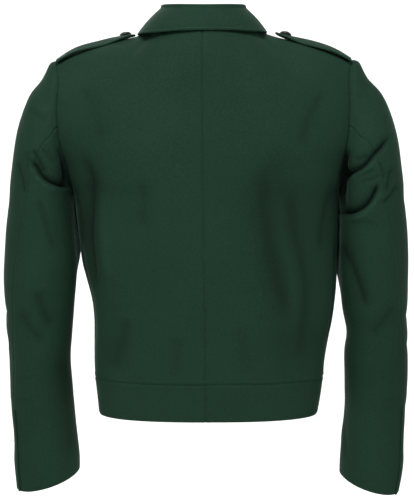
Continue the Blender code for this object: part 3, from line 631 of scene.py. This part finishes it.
# Backs and fronts: the side that they face, where they start across, how deep their seams lie, and the
# flat size, area, hold and support of each as cloth.
panels = {
    "back": {
        "face": 1,
        "start": -cloth["seamLap"] / 2,
        "sewn": {"first": 1.0, "last": 0.6, "low": 1.0},
        "cut": {"flat": (0.27, 0.56), "area": 0.131, "held": "hung", "restsOn": ["collar_stand"]},
    },
    "front": {
        "face": -1,
        "start": -body["lapHalf"],
        "sewn": {"last": 0.6, "low": 1.0},
        "cut": {"flat": (0.29, 0.56), "area": 0.134, "held": "hung", "restsOn": ["collar_stand"]},
    },
}
panelMesh = {
    "columns": 104,
    "lowRows": 104,
    "highRows": 84,
    "edgeReach": 30,
    "swell": 0.7,
    "swellLength": 95,
    "seed": 3,
}


def lapShift(side, x):
    # the left front lies over the right one where they lap
    lap = 1 - smooth((np.abs(x) - body["lapHalf"]) / body["lapRun"])
    return side * lap * (cloth["wall"] + cloth["clear"]) / 2


def addPanel(word, side):
    panel = panels[word]
    face = panel["face"]
    low = packed(panelMesh["lowRows"], start=4) - 1
    high = (1 - np.cos(math.pi * np.linspace(0, 1, panelMesh["highRows"]))) / 2
    rows = np.concatenate([low, high[1:]])[:, None]
    shares = np.sin(math.pi / 2 * packed(panelMesh["columns"], start=4, end=1))[None, :]
    x, z = panelPlace(side, face, panel["start"], shares, rows)
    if face > 0:
        lean = body["centreSeamTop"] * smooth((z - body["hem"]) / (neck["backZ"] - body["hem"]))
        x = x + lean * np.clip(1 - np.abs(x) / neck["half"], 0, None)
    form = bodyPoint(x, z, face)
    normals = unitNormals(form, np.array([0, 0, -250.0]))
    away = edgeDistances(form)
    held = [away["last"], away["low"], away["high"]]
    if face > 0:
        held.append(away["first"])
        normals = squareToMiddle(normals, away)
    free = smooth(np.minimum.reduce(held) / panelMesh["edgeReach"])
    creaseDepthAndPaintedShade = creaseDepth(bodyCreases, form, normals, folding["body"]) * free
    # painted shade: the creases' depth with the painted shade lines, kept for darkening the colour only
    shade = creaseDepthAndPaintedShade + creaseDepth(paintedShadeLines, form, normals, folding["paintedShadeStrength"])
    swell = panelMesh["swell"] * uneven(form, panelMesh["swellLength"], panelMesh["seed"]) * free
    push = creaseDepthAndPaintedShade + swell + seamDepth(form, panel["sewn"])
    if face < 0:
        push -= lapShift(side, form[..., 0])
    outer = form - normals * push[..., None]
    inner = outer - normals * cloth["wall"]
    name = word + sideWord(side).capitalize()
    clothPiece(name, outer, inner, f"{word}_{sideWord(side)}", shade)


for word in panels:
    for side in (1, -1):
        addPanel(word, side)
print("backs and fronts ready")

# Waistband: two halves, joined at the centre back and lapped in front.
waistband = {
    "rows": 30,
    "backColumns": 90,
    "frontColumns": 90,
    "lapColumns": 10,
    "edgeRound": 0.9,
    "edgeReach": 1.6,
    "swell": 0.35,
    "swellLength": 60,
    "seed": 8,
    "sewn": {"first": 1.0, "low": 1.1},
    "cut": {"flat": (0.50, 0.055), "area": None, "held": "stretched"},
}


def addWaistband(side):
    top = body["bandSeam"] + cloth["seamLap"]
    heights = top + (body["hem"] - top) * packed(waistband["rows"], start=3, end=3, reach=0.12)
    half = onCurve(bodyLevels, "height", heights, sideWord(side))[:, None]
    backShare = np.sin(math.pi / 2 * packed(waistband["backColumns"], start=3))
    frontShare = np.sin(math.pi / 2 * np.linspace(0, 1, waistband["frontColumns"]))[::-1]
    lapShare = -np.linspace(0, 1, waistband["lapColumns"])[1:]
    start = -cloth["seamLap"] / 2
    backX = side * (start + (half - start) * backShare)
    lapX = body["lapHalf"] * np.ones_like(half) * lapShare
    frontX = side * np.concatenate([half * frontShare[1:], lapX], axis=1)
    z = np.broadcast_to(heights[:, None], backX.shape)
    back = bodyPoint(backX, z, 1)
    front = bodyPoint(frontX, np.broadcast_to(heights[:, None], frontX.shape), -1)
    form = np.concatenate([back, front], axis=1)
    centre = form.mean(axis=1, keepdims=True) * np.array([0.3, 1, 1])
    normals = unitNormals(form, centre)
    away = edgeDistances(form)
    normals = squareToMiddle(normals, away)
    push = seamDepth(form, waistband["sewn"])
    push += waistband["edgeRound"] * bell(away["high"], waistband["edgeReach"])
    push += waistband["swell"] * uneven(form, waistband["swellLength"], waistband["seed"])
    inFront = (form[..., 1] < 0) * lapShift(side, form[..., 0])
    push -= inFront * (cloth["bandWall"] + cloth["clear"]) / (cloth["wall"] + cloth["clear"])
    outer = form - normals * push[..., None]
    inner = outer - normals * cloth["bandWall"]
    word = sideWord(side)
    clothPiece("waistband" + word.capitalize(), outer, inner, "waistband_" + word)


addWaistband(1)
addWaistband(-1)
print("waistband ready")

# Sleeve rings from the armhole to the hem: the outer and the inner point, half the depth, the middle's
# place in depth, how much lower the ring is behind, where the hind and the front seam lie in degrees
# from the outer point over the back, and how far the inner side swells in front.
ringNames = "outer outerZ inner innerZ depth middle drop hind front swell"
leftRings = table(
    ringNames,
    (222.0, -43, 197.0, -238, 60, -3, 0, 90, 240, 0),
    (232.0, -49, 198.2, -240, 62, -2, 0, 88, 239, 0),
    (244.5, -71, 198.8, -244, 65, 0, 0, 85, 238, 3),
    (262.0, -93, 199.0, -249, 67, 2, 0, 82, 237, 8),
    (275.5, -130, 198.4, -259, 68, 3, 0, 77, 236, 12),
    (285.0, -170, 197.4, -274, 67, 4, 0, 72, 236, 15),
    (290.0, -210, 196.2, -294, 66, 5, 0, 67, 236, 16),
    (293.5, -250, 194.6, -316, 64, 5, 0, 62, 236, 17),
    (299.0, -300, 193.0, -342, 62, 4, 0, 57, 236, 12),
    (303.0, -350, 194.5, -373, 60, 1, 0, 52, 236, 0),
    (302.5, -400, 197.5, -411, 58, -4, 0, 47, 236, 0),
    (300.5, -446, 202.0, -451, 56, -9, 1, 45, 236, 0),
    (297.0, -492, 204.0, -492, 54, -15, 2, 40, 236, 0),
    (297.5, -541, 201.6, -537, 52, -21, 3, 36, 236, 0),
    (296.6, -557, 201.0, -551, 51, -23, 4, 35, 236, 0),
    (296.2, -568, 200.3, -561, 50, -25, 4, 34, 236, 0),
    (294.0, -599, 198.5, -588, 49, -29, 5, 33, 236, 0),
    (294.0, -630, 196.0, -613, 48, -32, 6, 33, 236, 0),
    (293.0, -661, 193.8, -639, 47, -35, 8, 33, 236, 0),
    (291.0, -690, 193.5, -662, 46, -38, 10, 33, 236, 0),
)
rightRings = table(
    ringNames,
    (217.0, -43, 199.5, -238, 60, -3, 0, 90, 240, 0),
    (229.5, -48, 200.8, -240, 62, -2, 0, 88, 239, 0),
    (242.0, -69, 201.4, -244, 65, 0, 0, 85, 238, 3),
    (262.5, -91, 201.8, -249, 67, 2, 0, 82, 237, 8),
    (277.5, -123, 202.0, -260, 68, 3, 0, 78, 236, 12),
    (288.5, -166, 202.0, -276, 67, 4, 0, 74, 236, 15),
    (294.5, -212, 201.8, -296, 66, 5, 0, 70, 236, 17),
    (298.0, -252, 201.6, -318, 64, 5, 0, 65, 236, 18),
    (302.5, -303, 201.6, -344, 62, 4, 0, 58, 236, 17),
    (304.0, -350, 202.6, -374, 60, 1, 0, 52, 236, 10),
    (304.0, -400, 206.5, -409, 58, -4, 0, 47, 236, 3),
    (305.5, -442, 213.0, -446, 56, -9, 1, 45, 236, 0),
    (307.0, -483, 210.5, -480, 54, -15, 2, 40, 236, 0),
    (307.0, -538, 211.5, -532, 52, -21, 3, 36, 236, 0),
    (306.0, -554, 212.0, -547, 51, -23, 4, 35, 236, 0),
    (304.8, -565, 212.2, -558, 50, -25, 4, 34, 236, 0),
    (305.0, -597, 211.0, -586, 49, -29, 5, 33, 236, 0),
    (304.5, -629, 208.0, -612, 48, -32, 6, 33, 236, 0),
    (303.0, -662, 206.5, -642, 47, -35, 8, 33, 236, 0),
    (297.5, -695, 206.0, -668, 46, -38, 10, 33, 236, 0),
)
sleeve = {
    "blendRings": 4,
    "ventRing": 15,
    "ventLap": 4,
    "ventLift": 2.2,
    "capRoll": 1.3,
    "capPlace": 9,
    "capReach": 8,
    "swell": 0.6,
    "swellLength": 70,
    "seed": 5,
    "sewn": {"first": 0.8, "last": 0.8, "low": 0.6},
    "rows": 300,
    "topColumns": 100,
    "underColumns": 92,
    "topCut": {"flat": (0.22, 0.67), "area": 0.109, "held": "hung"},
    "underCut": {"flat": (0.17, 0.56), "area": 0.084, "held": "hung"},
}


def ringPoint(side, rings, at, angle):
    turn = np.radians(angle)
    ring = {word: onCurve(rings, "step", at, word) for word in ringNames.split()}
    x = (ring["outer"] + ring["inner"]) / 2 + (ring["outer"] - ring["inner"]) / 2 * np.cos(turn)
    z = (ring["outerZ"] + ring["innerZ"]) / 2 + (ring["outerZ"] - ring["innerZ"]) / 2 * np.cos(turn)
    before = (angle % 360 > 180) & (angle % 360 < 270)
    x = x - np.where(before, ring["swell"] * np.sin(2 * turn) ** 2, 0)
    y = ring["middle"] + ring["depth"] * np.sin(turn)
    return np.stack(np.broadcast_arrays(side * x, y, z - ring["drop"] * np.sin(turn)), axis=-1)


def armholePoint(side, angle):
    # point of the armhole's edge that the sleeve's first ring is sewn to
    row = (1 + np.cos(np.radians(angle))) / 2
    ends = []
    for face in (1, -1):
        x, z = panelPlace(side, face, 0.0, np.ones_like(row), row)
        ends.append(bodyPoint(x, z, face))
    point = np.where((angle % 360 <= 180)[..., None], ends[0], ends[1])
    return point - np.array([side * cloth["seamLap"], 0, 0])


def sleevePoint(side, rings, at, angle):
    held = 1 - smooth(at / sleeve["blendRings"])
    first = armholePoint(side, angle) - ringPoint(side, rings, np.zeros_like(at), angle)
    return ringPoint(side, rings, at, angle) + first * held[..., None]


def addSleevePart(side, part):
    rings = leftRings if side > 0 else rightRings
    creases = leftSleeveCreases if side > 0 else rightSleeveCreases
    columns = sleeve[part + "Columns"]
    last = len(rings["step"]) - 1
    even = np.linspace(0, last, 800)
    line = sleevePoint(side, rings, even, np.full_like(even, 80.0))
    travelled = np.concatenate([[0], np.cumsum(np.linalg.norm(np.diff(line, axis=0), axis=1))])
    places = packed(sleeve["rows"], start=3, end=3, reach=0.02) * travelled[-1]
    at = np.interp(places, travelled, even)[:, None]
    share = packed(columns, start=3, end=3)[None, :]
    hind, front = onCurve(rings, "step", at, "hind"), onCurve(rings, "step", at, "front")
    topHind, topFront = rings["hind"][0], rings["front"][0]
    if part == "top":
        sewn, spread = (topFront - 360, topHind), (front - 360, hind)
    else:
        sewn, spread = (topHind, topFront), (hind, front)
    sewn, spread = (first + (last - first) * share for first, last in (sewn, spread))
    angle = sewn + (spread - sewn) * smooth(at / sleeve["blendRings"])
    halfLap = np.degrees(cloth["seamLap"] / 2 / onCurve(rings, "step", at, "depth"))
    angle = angle - halfLap * (1 - 2 * share)
    vent = smooth((at - sleeve["ventRing"] + 0.45) / 0.35) * (part == "top")
    angle = angle + vent * sleeve["ventLap"] * smooth((share - 0.94) / 0.06)
    at = np.broadcast_to(at, angle.shape)
    form = sleevePoint(side, rings, at, angle)
    outerLine, innerLine = (ringPoint(side, rings, at, np.full_like(angle, turn)) for turn in (0, 180))
    normals = unitNormals(form, (outerLine + innerLine) / 2)
    away = edgeDistances(form)
    creaseDepthAndPaintedShade = creaseDepth(creases, form, normals, folding["sleeve"]) * smooth(away["low"] / 6)
    # painted shade: the creases' depth with the painted shade lines, kept for darkening the colour only
    shade = creaseDepthAndPaintedShade + creaseDepth(paintedShadeLines, form, normals, folding["paintedShadeStrength"])
    swell = sleeve["swell"] * uneven(form, sleeve["swellLength"], sleeve["seed"] + side)
    push = creaseDepthAndPaintedShade + swell * smooth(away["low"] / panelMesh["edgeReach"])
    lifted = vent * smooth((angle - hind + 4) / 3)
    push += seamDepth(form, sleeve["sewn"]) * (1 - lifted)
    push -= sleeve["ventLift"] * lifted
    cap = smooth(np.cos(np.radians(angle)) * 1.5 + 0.2)
    push -= sleeve["capRoll"] * cap * bell(away["low"], sleeve["capReach"], sleeve["capPlace"])
    outer = form - normals * push[..., None]
    inner = outer - normals * cloth["wall"]
    word = sideWord(side)
    name = "sleeve" + word.capitalize() + part.capitalize()
    clothPiece(name, outer, inner, f"sleeve_{word}_{part}", shade)


for side in (1, -1):
    for part in ("top", "under"):
        addSleevePart(side, part)
print("sleeves ready")

# Topstitching: short stitches of thread in rows beside an edge.
thread = {"pitch": 3.0, "length": 2.2, "radius": 0.2, "steps": 5, "sides": 6, "colour": (0.030, 0.082, 0.052)}
stitchDitch = {"depth": 0.35, "reach": 0.9}


def insetLine(grid, distance, inset):
    # the line where this distance, which grows or falls down each column, comes to the inset
    if distance[0, 0] > distance[-1, 0]:
        grid, distance = grid[::-1], distance[::-1]
    columns, words = grid.shape[1:]
    line = np.empty((columns, words))
    for j in range(columns):
        for k in range(words):
            line[j, k] = np.interp(inset, distance[:, j], grid[:, j, k])
    return line


def addStitches(name, rows):
    # one piece of all the stitches along these rows of points and their normals
    steps = np.linspace(-1, 1, thread["steps"])
    turns = np.linspace(0, 2 * math.pi, thread["sides"], endpoint=False)
    tubes = []
    for line, normals in rows:
        travelled = np.concatenate([[0], np.cumsum(np.linalg.norm(np.diff(line, axis=0), axis=1))])
        middles = np.arange(thread["pitch"], travelled[-1] - thread["pitch"] / 2, thread["pitch"])
        places = middles[:, None] + steps * thread["length"] / 2
        spots = np.stack([np.interp(places, travelled, line[:, k]) for k in range(3)], axis=-1)
        out = np.stack([np.interp(places, travelled, normals[:, k]) for k in range(3)], axis=-1)
        out /= np.linalg.norm(out, axis=-1, keepdims=True)
        beside = np.cross(np.gradient(spots, axis=1), out)
        beside /= np.linalg.norm(beside, axis=-1, keepdims=True)
        spots = spots + out * (thread["radius"] * (0.55 - 1.5 * steps**4))[:, None]
        radius = thread["radius"] * np.sqrt(1 - 0.6 * steps**2)[None, :, None, None]
        ring = out[:, :, None] * np.sin(turns)[:, None] + beside[:, :, None] * np.cos(turns)[:, None]
        tubes.append(spots[:, :, None] + ring * radius)
    points = np.concatenate(tubes)
    count, length, sides = points.shape[:3]
    index = np.arange(count * length * sides).reshape(count, length, sides)
    following = np.roll(index, -1, axis=2)
    walls = np.stack([index[:, :-1], following[:, :-1], following[:, 1:], index[:, 1:]], axis=-1)
    ends = index[:, 0, ::-1].tolist() + index[:, -1].tolist()
    mesh = bpy.data.meshes.new(name)
    mesh.from_pydata((points.reshape(-1, 3) * mm).tolist(), [], walls.reshape(-1, 4).tolist() + ends)
    mesh.shade_smooth()
    mesh.materials.append(threadMaterial)
    piece = addObject(name, mesh)
    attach(piece, "root")
    return piece


def greenThread():
    material, tree, shader = startMaterial("green thread")
    place = addNode(tree, "ShaderNodeTexCoord", (-900, 0))
    fuzz = noiseNode(tree, place.outputs["Object"], 900.0)
    colour = rampNode(tree, fuzz, [0.75 * v for v in thread["colour"]], thread["colour"])
    tree.links.new(colour, shader.inputs["Base Color"])
    shader.inputs["Roughness"].default_value = 0.62
    return material


threadMaterial = greenThread()


def edgeRows(outer, normals, inset, sides):
    # rows of stitches beside these sides of a piece, each stopping where it meets the next
    away = edgeDistances(outer)
    rows = []
    for side in sides:
        others = [away[other] for other in sides if other != side]
        grid = np.concatenate([outer, normals, np.minimum.reduce(others)[..., None]], axis=-1)
        distance = away[side]
        if side in ("first", "last"):
            grid, distance = grid.transpose(1, 0, 2), distance.T
        line = insetLine(grid, distance, inset)
        line = line[line[:, 6] >= inset]
        rows.append((line[:, :3], line[:, 3:6]))
    return rows


# Collar round from the middle of the front to the middle of the back, and past it for the curve:
# height of the stand, how far it leans out, and the lower edge of the fall.
collarRound = table(
    "angle stand lean edgeX edgeY edgeZ",
    (3, 20, -4.0, 47, -113, -107),
    (18, 21, -4.0, 62, -103, -86),
    (36, 25, -5.5, 77, -84, -52),
    (54, 29, -7.0, 89, -57, -22),
    (72, 30.5, -8.0, 95, -28, -2.8),
    (90, 32, -8.0, 97, 0, -0.8),
    (108, 31.5, -6.5, 94.5, 28, -0.9),
    (126, 30.5, -3.0, 86, 54, -0.9),
    (144, 29.5, 0.5, 68, 72, -0.6),
    (162, 28.5, 3.5, 38, 83, 0.6),
    (180, 28, 4.5, 0, 86.5, 1.0),
    (198, 28.5, 3.5, -38, 83, 0.6),
)
# Section of the fall over the fold, outwards and up from the top of the stand.
foldRoll = ((-2.3, -0.4), (-0.6, 0.6), (1.6, 0.2), (3.3, -1.8), (4.2, -5.0))
collar = {
    "shift": 3,
    "edgeShift": 1.6,
    "tilt": 0.015,
    "fallRows": 5,
    "bulge": 1.6,
    "columns": 300,
    "rollFine": 13,
    "fallFine": 33,
    "standFine": 16,
    "edgeStitch": 3.4,
    "edgeRound": 0.5,
    "edgeReach": 0.9,
    "endReach": 20,
    "swell": 0.25,
    "swellLength": 40,
    "seed": 11,
    "standCut": {"flat": (0.42, 0.031), "area": None, "held": "hung", "restsOn": ["back_left", "front_left"]},
    "fallCut": {"flat": (0.56, 0.080), "area": 0.032, "held": "folded", "restsOn": ["collar_stand"]},
}


def collarSeam(side, angle):
    turn = np.radians(angle)
    x = neck["half"] * np.sin(turn)
    onSeam = np.minimum(np.abs(x), neck["half"] - 0.001)
    back, front = topEdge(onSeam, 1), topEdge(onSeam, -1)
    behind = angle >= 90
    y = np.where(behind, back[0], -front[0])
    z = np.where(behind, back[1], front[1]) - cloth["seamLap"]
    return np.stack([side * x, y, z], axis=-1)


def collarParts():
    # seam, top of the stand, direction outwards and lower edge of the fall, all round
    signed = np.linspace(-177, 177, collar["columns"])
    side, angle = np.where(signed < 0, -1.0, 1.0), 180 - np.abs(signed)
    words = "stand lean edgeX edgeY edgeZ".split()
    row = {word: onCurve(collarRound, "angle", angle, word) for word in words}
    turn = np.radians(angle)
    out = np.stack([side * np.sin(turn), -np.cos(turn), np.zeros_like(turn)], axis=-1)
    seamLine = collarSeam(side, angle)
    shift = collar["shift"] * smooth((angle - 20) / 60)
    moved = np.stack([shift, np.zeros_like(shift), row["stand"]], axis=-1)
    top = seamLine + out * row["lean"][:, None] + moved
    edgeX = side * row["edgeX"] + collar["edgeShift"] * shift
    edge = np.stack([edgeX, row["edgeY"], row["edgeZ"] - collar["tilt"] * edgeX], axis=-1)
    return seamLine, top, out, edge


def addCollar():
    seamLine, top, out, edge = collarParts()
    part = packed(collar["standFine"], start=2)[:, None, None]
    outer = seamLine[None] * (1 - part) + top[None] * part
    inner = outer - out[None] * cloth["wall"]
    clothPiece("collarStand", outer, inner, "collar_stand")
    upright = np.cross(np.gradient(top, axis=0), out)
    upright /= np.linalg.norm(upright, axis=1, keepdims=True)
    upright *= np.sign(upright[:, 2:])
    lifted = top + upright * (cloth["wall"] + cloth["clear"])
    section = [lifted + out * a + upright * b for a, b in foldRoll]
    start = section[-1]
    section += [start + (edge - start) * k / collar["fallRows"] for k in range(1, collar["fallRows"] + 1)]
    section = np.array(section)
    rolled = len(foldRoll) - 1
    onRoll = np.linspace(0, rolled, collar["rollFine"] + 1)[:-1]
    onFall = rolled + collar["fallRows"] * packed(collar["fallFine"], end=4, reach=0.08)
    steps = np.concatenate([onRoll, onFall])
    asTables = {"step": np.arange(len(section), dtype=float), "place": section}
    form = onCurveRows(asTables["step"], asTables["place"], steps)
    normals = np.cross(np.gradient(form, axis=1), np.gradient(form, axis=0))
    normals /= np.linalg.norm(normals, axis=-1, keepdims=True)
    if (normals[-1] * out).sum() < 0:
        normals = -normals
    fallPart = np.clip((steps - rolled) / collar["fallRows"], 0, 1)[:, None]
    away = edgeDistances(form)
    free = smooth(np.minimum(away["first"], away["last"]) / collar["endReach"])
    push = -collar["bulge"] * np.sin(math.pi * fallPart) * free
    push += stitchDitch["depth"] * bell(away["high"], stitchDitch["reach"], collar["edgeStitch"])
    push += collar["edgeRound"] * bell(away["high"], collar["edgeReach"])
    push -= collar["swell"] * uneven(form, collar["swellLength"], collar["seed"]) * fallPart
    outer = form - normals * push[..., None]
    inner = outer - normals * cloth["wall"]
    stitched = edgeRows(outer, normals, collar["edgeStitch"], ("first", "last", "high"))
    clothPiece("collarFall", outer, inner, "collar_fall", stitched=stitched)


def onCurveRows(keys, values, at):
    # rows of points at any place between them, on a smooth curve
    low, high = np.maximum(np.arange(len(keys)) - 1, 0), np.minimum(np.arange(len(keys)) + 1, len(keys) - 1)
    slopes = (values[high] - values[low]) / (keys[high] - keys[low])[:, None, None]
    i = np.clip(np.searchsorted(keys, at) - 1, 0, len(keys) - 2)
    part = ((at - keys[i]) / (keys[i + 1] - keys[i]))[:, None, None]
    return (
        (2 * part**3 - 3 * part**2 + 1) * values[i]
        + (part**3 - 2 * part**2 + part) * slopes[i]
        + (3 * part**2 - 2 * part**3) * values[i + 1]
        + (part**3 - part**2) * slopes[i + 1]
    )


addCollar()
print("collar ready")

# Shoulder straps along the shoulder from the neck end: height of the top face and half the width.
leftStrap = table(
    "across top half",
    (104, -2.4, 3), (107, -2.2, 13), (113, -2.4, 20), (127, -4.4, 22), (144, -7.8, 22.5), (161, -11.8, 23),
    (177, -15.4, 23.5), (192, -20.6, 24), (205, -27.6, 24.5), (214, -33.4, 25), (221.5, -38.4, 25),
)
rightStrap = table(
    "across top half",
    (104, 1.6, 3), (107, 0.8, 13), (112, -0.8, 20), (125, -3.8, 22), (140, -7.0, 22.5), (155, -10.2, 23),
    (172, -14.4, 23.5), (188, -20.4, 24), (201, -27.0, 24.5), (209, -31.6, 25), (216.5, -36.4, 25),
)
strap = {
    "crown": 1.4,
    "frontDrop": 7.0,
    "backDrop": 7.4,
    "dropBy": 0.42,
    "endRise": 0.45,
    "rows": 90,
    "columns": 44,
    "edgeRound": 0.9,
    "stitchIn": 4.5,
    "edgeReach": 1.3,
    "swell": 0.3,
    "swellLength": 35,
    "seed": 17,
    "cut": {"flat": (0.120, 0.051), "area": 0.0058, "held": "laid"},
}


def strapForm(side, strapTable):
    tip, length = strapTable["across"][0], np.ptp(strapTable["across"])
    across = (tip + length * packed(strap["rows"], start=4, end=2, reach=0.06))[:, None]
    part = (2 * packed(strap["columns"], start=3, end=3, reach=0.05) - 1)[None, :]
    top, half = onCurve(strapTable, "across", across, "top"), onCurve(strapTable, "across", across, "half")
    along = (across - tip) / length
    arch = smooth(along / strap["dropBy"]) * (1 - strap["endRise"] * smooth(2 * along - 1))
    z = top - strap["crown"] * part**2 * half / strapTable["half"][-1]
    z = z - arch * (strap["backDrop"] * np.maximum(part, 0) + strap["frontDrop"] * np.maximum(-part, 0))
    return np.stack(np.broadcast_arrays(side * across, part * half, z), axis=-1)


def addStrap(side):
    strapTable = leftStrap if side > 0 else rightStrap
    form = strapForm(side, strapTable)
    normals = unitNormals(form, form - np.array([0, 0, 1.0]))
    away = edgeDistances(form)
    near = np.minimum.reduce([away["first"], away["last"], away["low"]])
    rounded = strap["edgeRound"] * bell(near, strap["edgeReach"])
    push = rounded + stitchDitch["depth"] * bell(near, stitchDitch["reach"], strap["stitchIn"])
    push -= strap["swell"] * uneven(form, strap["swellLength"], strap["seed"] + side)
    outer = form - normals * push[..., None]
    below = cloth["strapWall"] - 2 * rounded
    inner = outer - normals * np.maximum(below, 0.8)[..., None]
    word = sideWord(side)
    name = "shoulderStrap" + word.capitalize()
    stitched = edgeRows(outer, normals, strap["stitchIn"], ("first", "last", "low"))
    clothPiece(name, outer, inner, "shoulder_strap_" + word, stitched=stitched)


for side in (1, -1):
    addStrap(side)
print("straps ready")

# Buttons: a turned dome inside a rolled rim, on the strap near its neck end.
button = {
    "radius": 9.2,
    "crown": 5.2,
    "rim": 1.7,
    "rimWidth": 1.25,
    "fromTip": 15,
    "turns": 72,
    "steps": 18,
    "dark": (0.010, 0.011, 0.010),
    "worn": (0.050, 0.050, 0.044),
}


def darkButton():
    material, tree, shader = startMaterial("dark button")
    place = addNode(tree, "ShaderNodeTexCoord", (-1100, 0))
    rubbed = noiseNode(tree, place.outputs["Object"], 260.0, 4.0, 0.6)
    colour = rampNode(tree, rubbed, button["dark"], button["worn"], (0.35, 0.75))
    tree.links.new(colour, shader.inputs["Base Color"])
    rough = mathNode(tree, "MULTIPLY_ADD", rubbed, 0.25, 0.20)
    tree.links.new(rough, shader.inputs["Roughness"])
    shader.inputs["Metallic"].default_value = 0.8
    tree.links.new(bumpNode(tree, rubbed, 0.12, 0.0003), shader.inputs["Normal"])
    return material


def addButton(side, material):
    strapTable = leftStrap if side > 0 else rightStrap
    turn = np.linspace(0, math.pi / 2, button["steps"])
    dome = button["radius"] - button["rimWidth"]
    rise, half = button["crown"] - button["rim"], button["rimWidth"] / 2
    outline = [(dome * math.sin(a), button["rim"] - 0.1 + rise * math.cos(a)) for a in turn]
    middle, level = button["radius"] - half, button["rim"] - half
    for a in np.linspace(math.pi, -math.pi / 2, 14):
        outline.append((middle + half * math.cos(a), level + half * math.sin(a)))
    outline += [(button["radius"] - 0.7, 0.0), (0.0, 0.0)]
    radii, heights = np.array(outline).T[:, :, None]
    around = np.linspace(0, 2 * math.pi, button["turns"], endpoint=False)
    points = np.stack(np.broadcast_arrays(radii * np.cos(around), radii * np.sin(around), heights), axis=-1)
    index = np.arange(points.size // 3).reshape(len(radii), -1)
    following = np.roll(index, -1, axis=1)
    faces = np.stack([index[:-1], index[1:], following[1:], following[:-1]], axis=-1).reshape(-1, 4)
    mesh = bpy.data.meshes.new("button")
    mesh.from_pydata((points.reshape(-1, 3) * mm).tolist(), [], faces.tolist())
    form = bmesh.new()
    form.from_mesh(mesh)
    bmesh.ops.remove_doubles(form, verts=form.verts, dist=0.00001)
    bmesh.ops.recalc_face_normals(form, faces=form.faces)
    form.to_mesh(mesh)
    form.free()
    mesh.shade_smooth()
    mesh.materials.append(material)
    across = strapTable["across"][0] + button["fromTip"]
    near = onCurve(strapTable, "across", np.array([across - 1, across, across + 1]), "top")
    up = Vector((-side * (near[2] - near[0]) / 2, 0, 1)).normalized()
    place = Vector((side * across, 0, near[1])) + up * 0.1
    piece = addObject("strapButton" + sideWord(side).capitalize(), mesh)
    piece.matrix_world = Matrix.Translation(place * mm) @ up.to_track_quat("Z", "Y").to_matrix().to_4x4()
    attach(piece, "root")
    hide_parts("strap_button_" + sideWord(side))


buttonMaterial = darkButton()
for side in (1, -1):
    addButton(side, buttonMaterial)
print("buttons ready")

# Camera straight behind, a little below the shoulders' height and looking slightly down.
camera = {"eye": (-2.25, 2600, -129), "aim": (-2.25, 0, -324), "lens": 125, "sensor": 36}


def addCamera():
    lens = bpy.data.cameras.new("camera")
    lens.lens, lens.sensor_width = camera["lens"], camera["sensor"]
    lens.clip_start, lens.clip_end = 0.05, 50
    holder = addObject("camera", lens)
    eye, aim = Vector(camera["eye"]), Vector(camera["aim"])
    holder.location = eye * mm
    holder.rotation_euler = (aim - eye).to_track_quat("-Z", "Y").to_euler()
    bpy.context.scene.camera = holder


# Studio: one pale sweep of floor and wall, soft lights from both sides and above.
studio = {
    "floor": -1.15,
    "near": 4.0,
    "wall": -5.0,
    "bend": 1.4,
    "high": 5.0,
    "half": 6.0,
    "pale": (0.88, 0.88, 0.87),
    "world": 0.32,
}
lights = table(
    "x y z power size aimX aimY aimZ",
    (0.4, 1.9, 2.0, 70, 0.9, 0, 0, -0.33),
    (0.0, 0.6, 2.2, 15, 1.4, 0, 0, -0.1),
    (2.3, 1.8, -0.1, 15, 1.6, 0, 0, -0.33),
    (-2.3, 1.8, -0.1, 18, 1.6, 0, 0, -0.33),
    (0.6, -2.2, 1.2, 34, 2.2, 0, 0, -0.33),
    (-2.4, -2.7, 1.2, 68, 2.0, 0.5, -4.8, 0.1),
    (2.4, -2.7, 1.2, 68, 2.0, -0.5, -4.8, 0.1),
)


def addStudio():
    mesh = bpy.data.meshes.new("sweep")
    section, bend = [(studio["near"], 0.0)], studio["bend"]
    for a in np.linspace(0, math.pi / 2, 12):
        section.append((studio["wall"] + bend * (1 - math.sin(a)), bend * (1 - math.cos(a))))
    section.append((studio["wall"], studio["high"]))
    points = [(x, y, studio["floor"] + z) for y, z in section for x in (-studio["half"], studio["half"])]
    faces = [(2 * i, 2 * i + 1, 2 * i + 3, 2 * i + 2) for i in range(len(section) - 1)]
    mesh.from_pydata(points, [], faces)
    mesh.shade_smooth()
    pale, tree, shader = startMaterial("pale sweep")
    shader.inputs["Roughness"].default_value = 0.9
    place = addNode(tree, "ShaderNodeTexCoord", (-900, 0))
    mottle = noiseNode(tree, place.outputs["Object"], 0.6)
    colour = rampNode(tree, mottle, [v * 0.985 for v in studio["pale"]], studio["pale"])
    tree.links.new(colour, shader.inputs["Base Color"])
    mesh.materials.append(pale)
    addObject("sweep", mesh)


def addLights():
    for i in range(len(lights["x"])):
        lamp = bpy.data.lights.new(f"soft light {i + 1}", "AREA")
        lamp.energy, lamp.shape, lamp.size = lights["power"][i], "DISK", lights["size"][i]
        holder = addObject(lamp.name, lamp)
        holder.location = (lights["x"][i], lights["y"][i], lights["z"][i])
        aim = Vector((lights["aimX"][i], lights["aimY"][i], lights["aimZ"][i])) - holder.location
        holder.rotation_euler = aim.to_track_quat("-Z", "Y").to_euler()
    world = bpy.data.worlds.new("studio air")
    world.use_nodes = True
    air = world.node_tree.nodes["Background"]
    air.inputs["Color"].default_value = (1, 1, 1, 1)
    air.inputs["Strength"].default_value = studio["world"]
    bpy.context.scene.world = world
    bpy.context.scene.view_settings.view_transform = "Standard"


addCamera()
addStudio()
addLights()
print("studio ready")
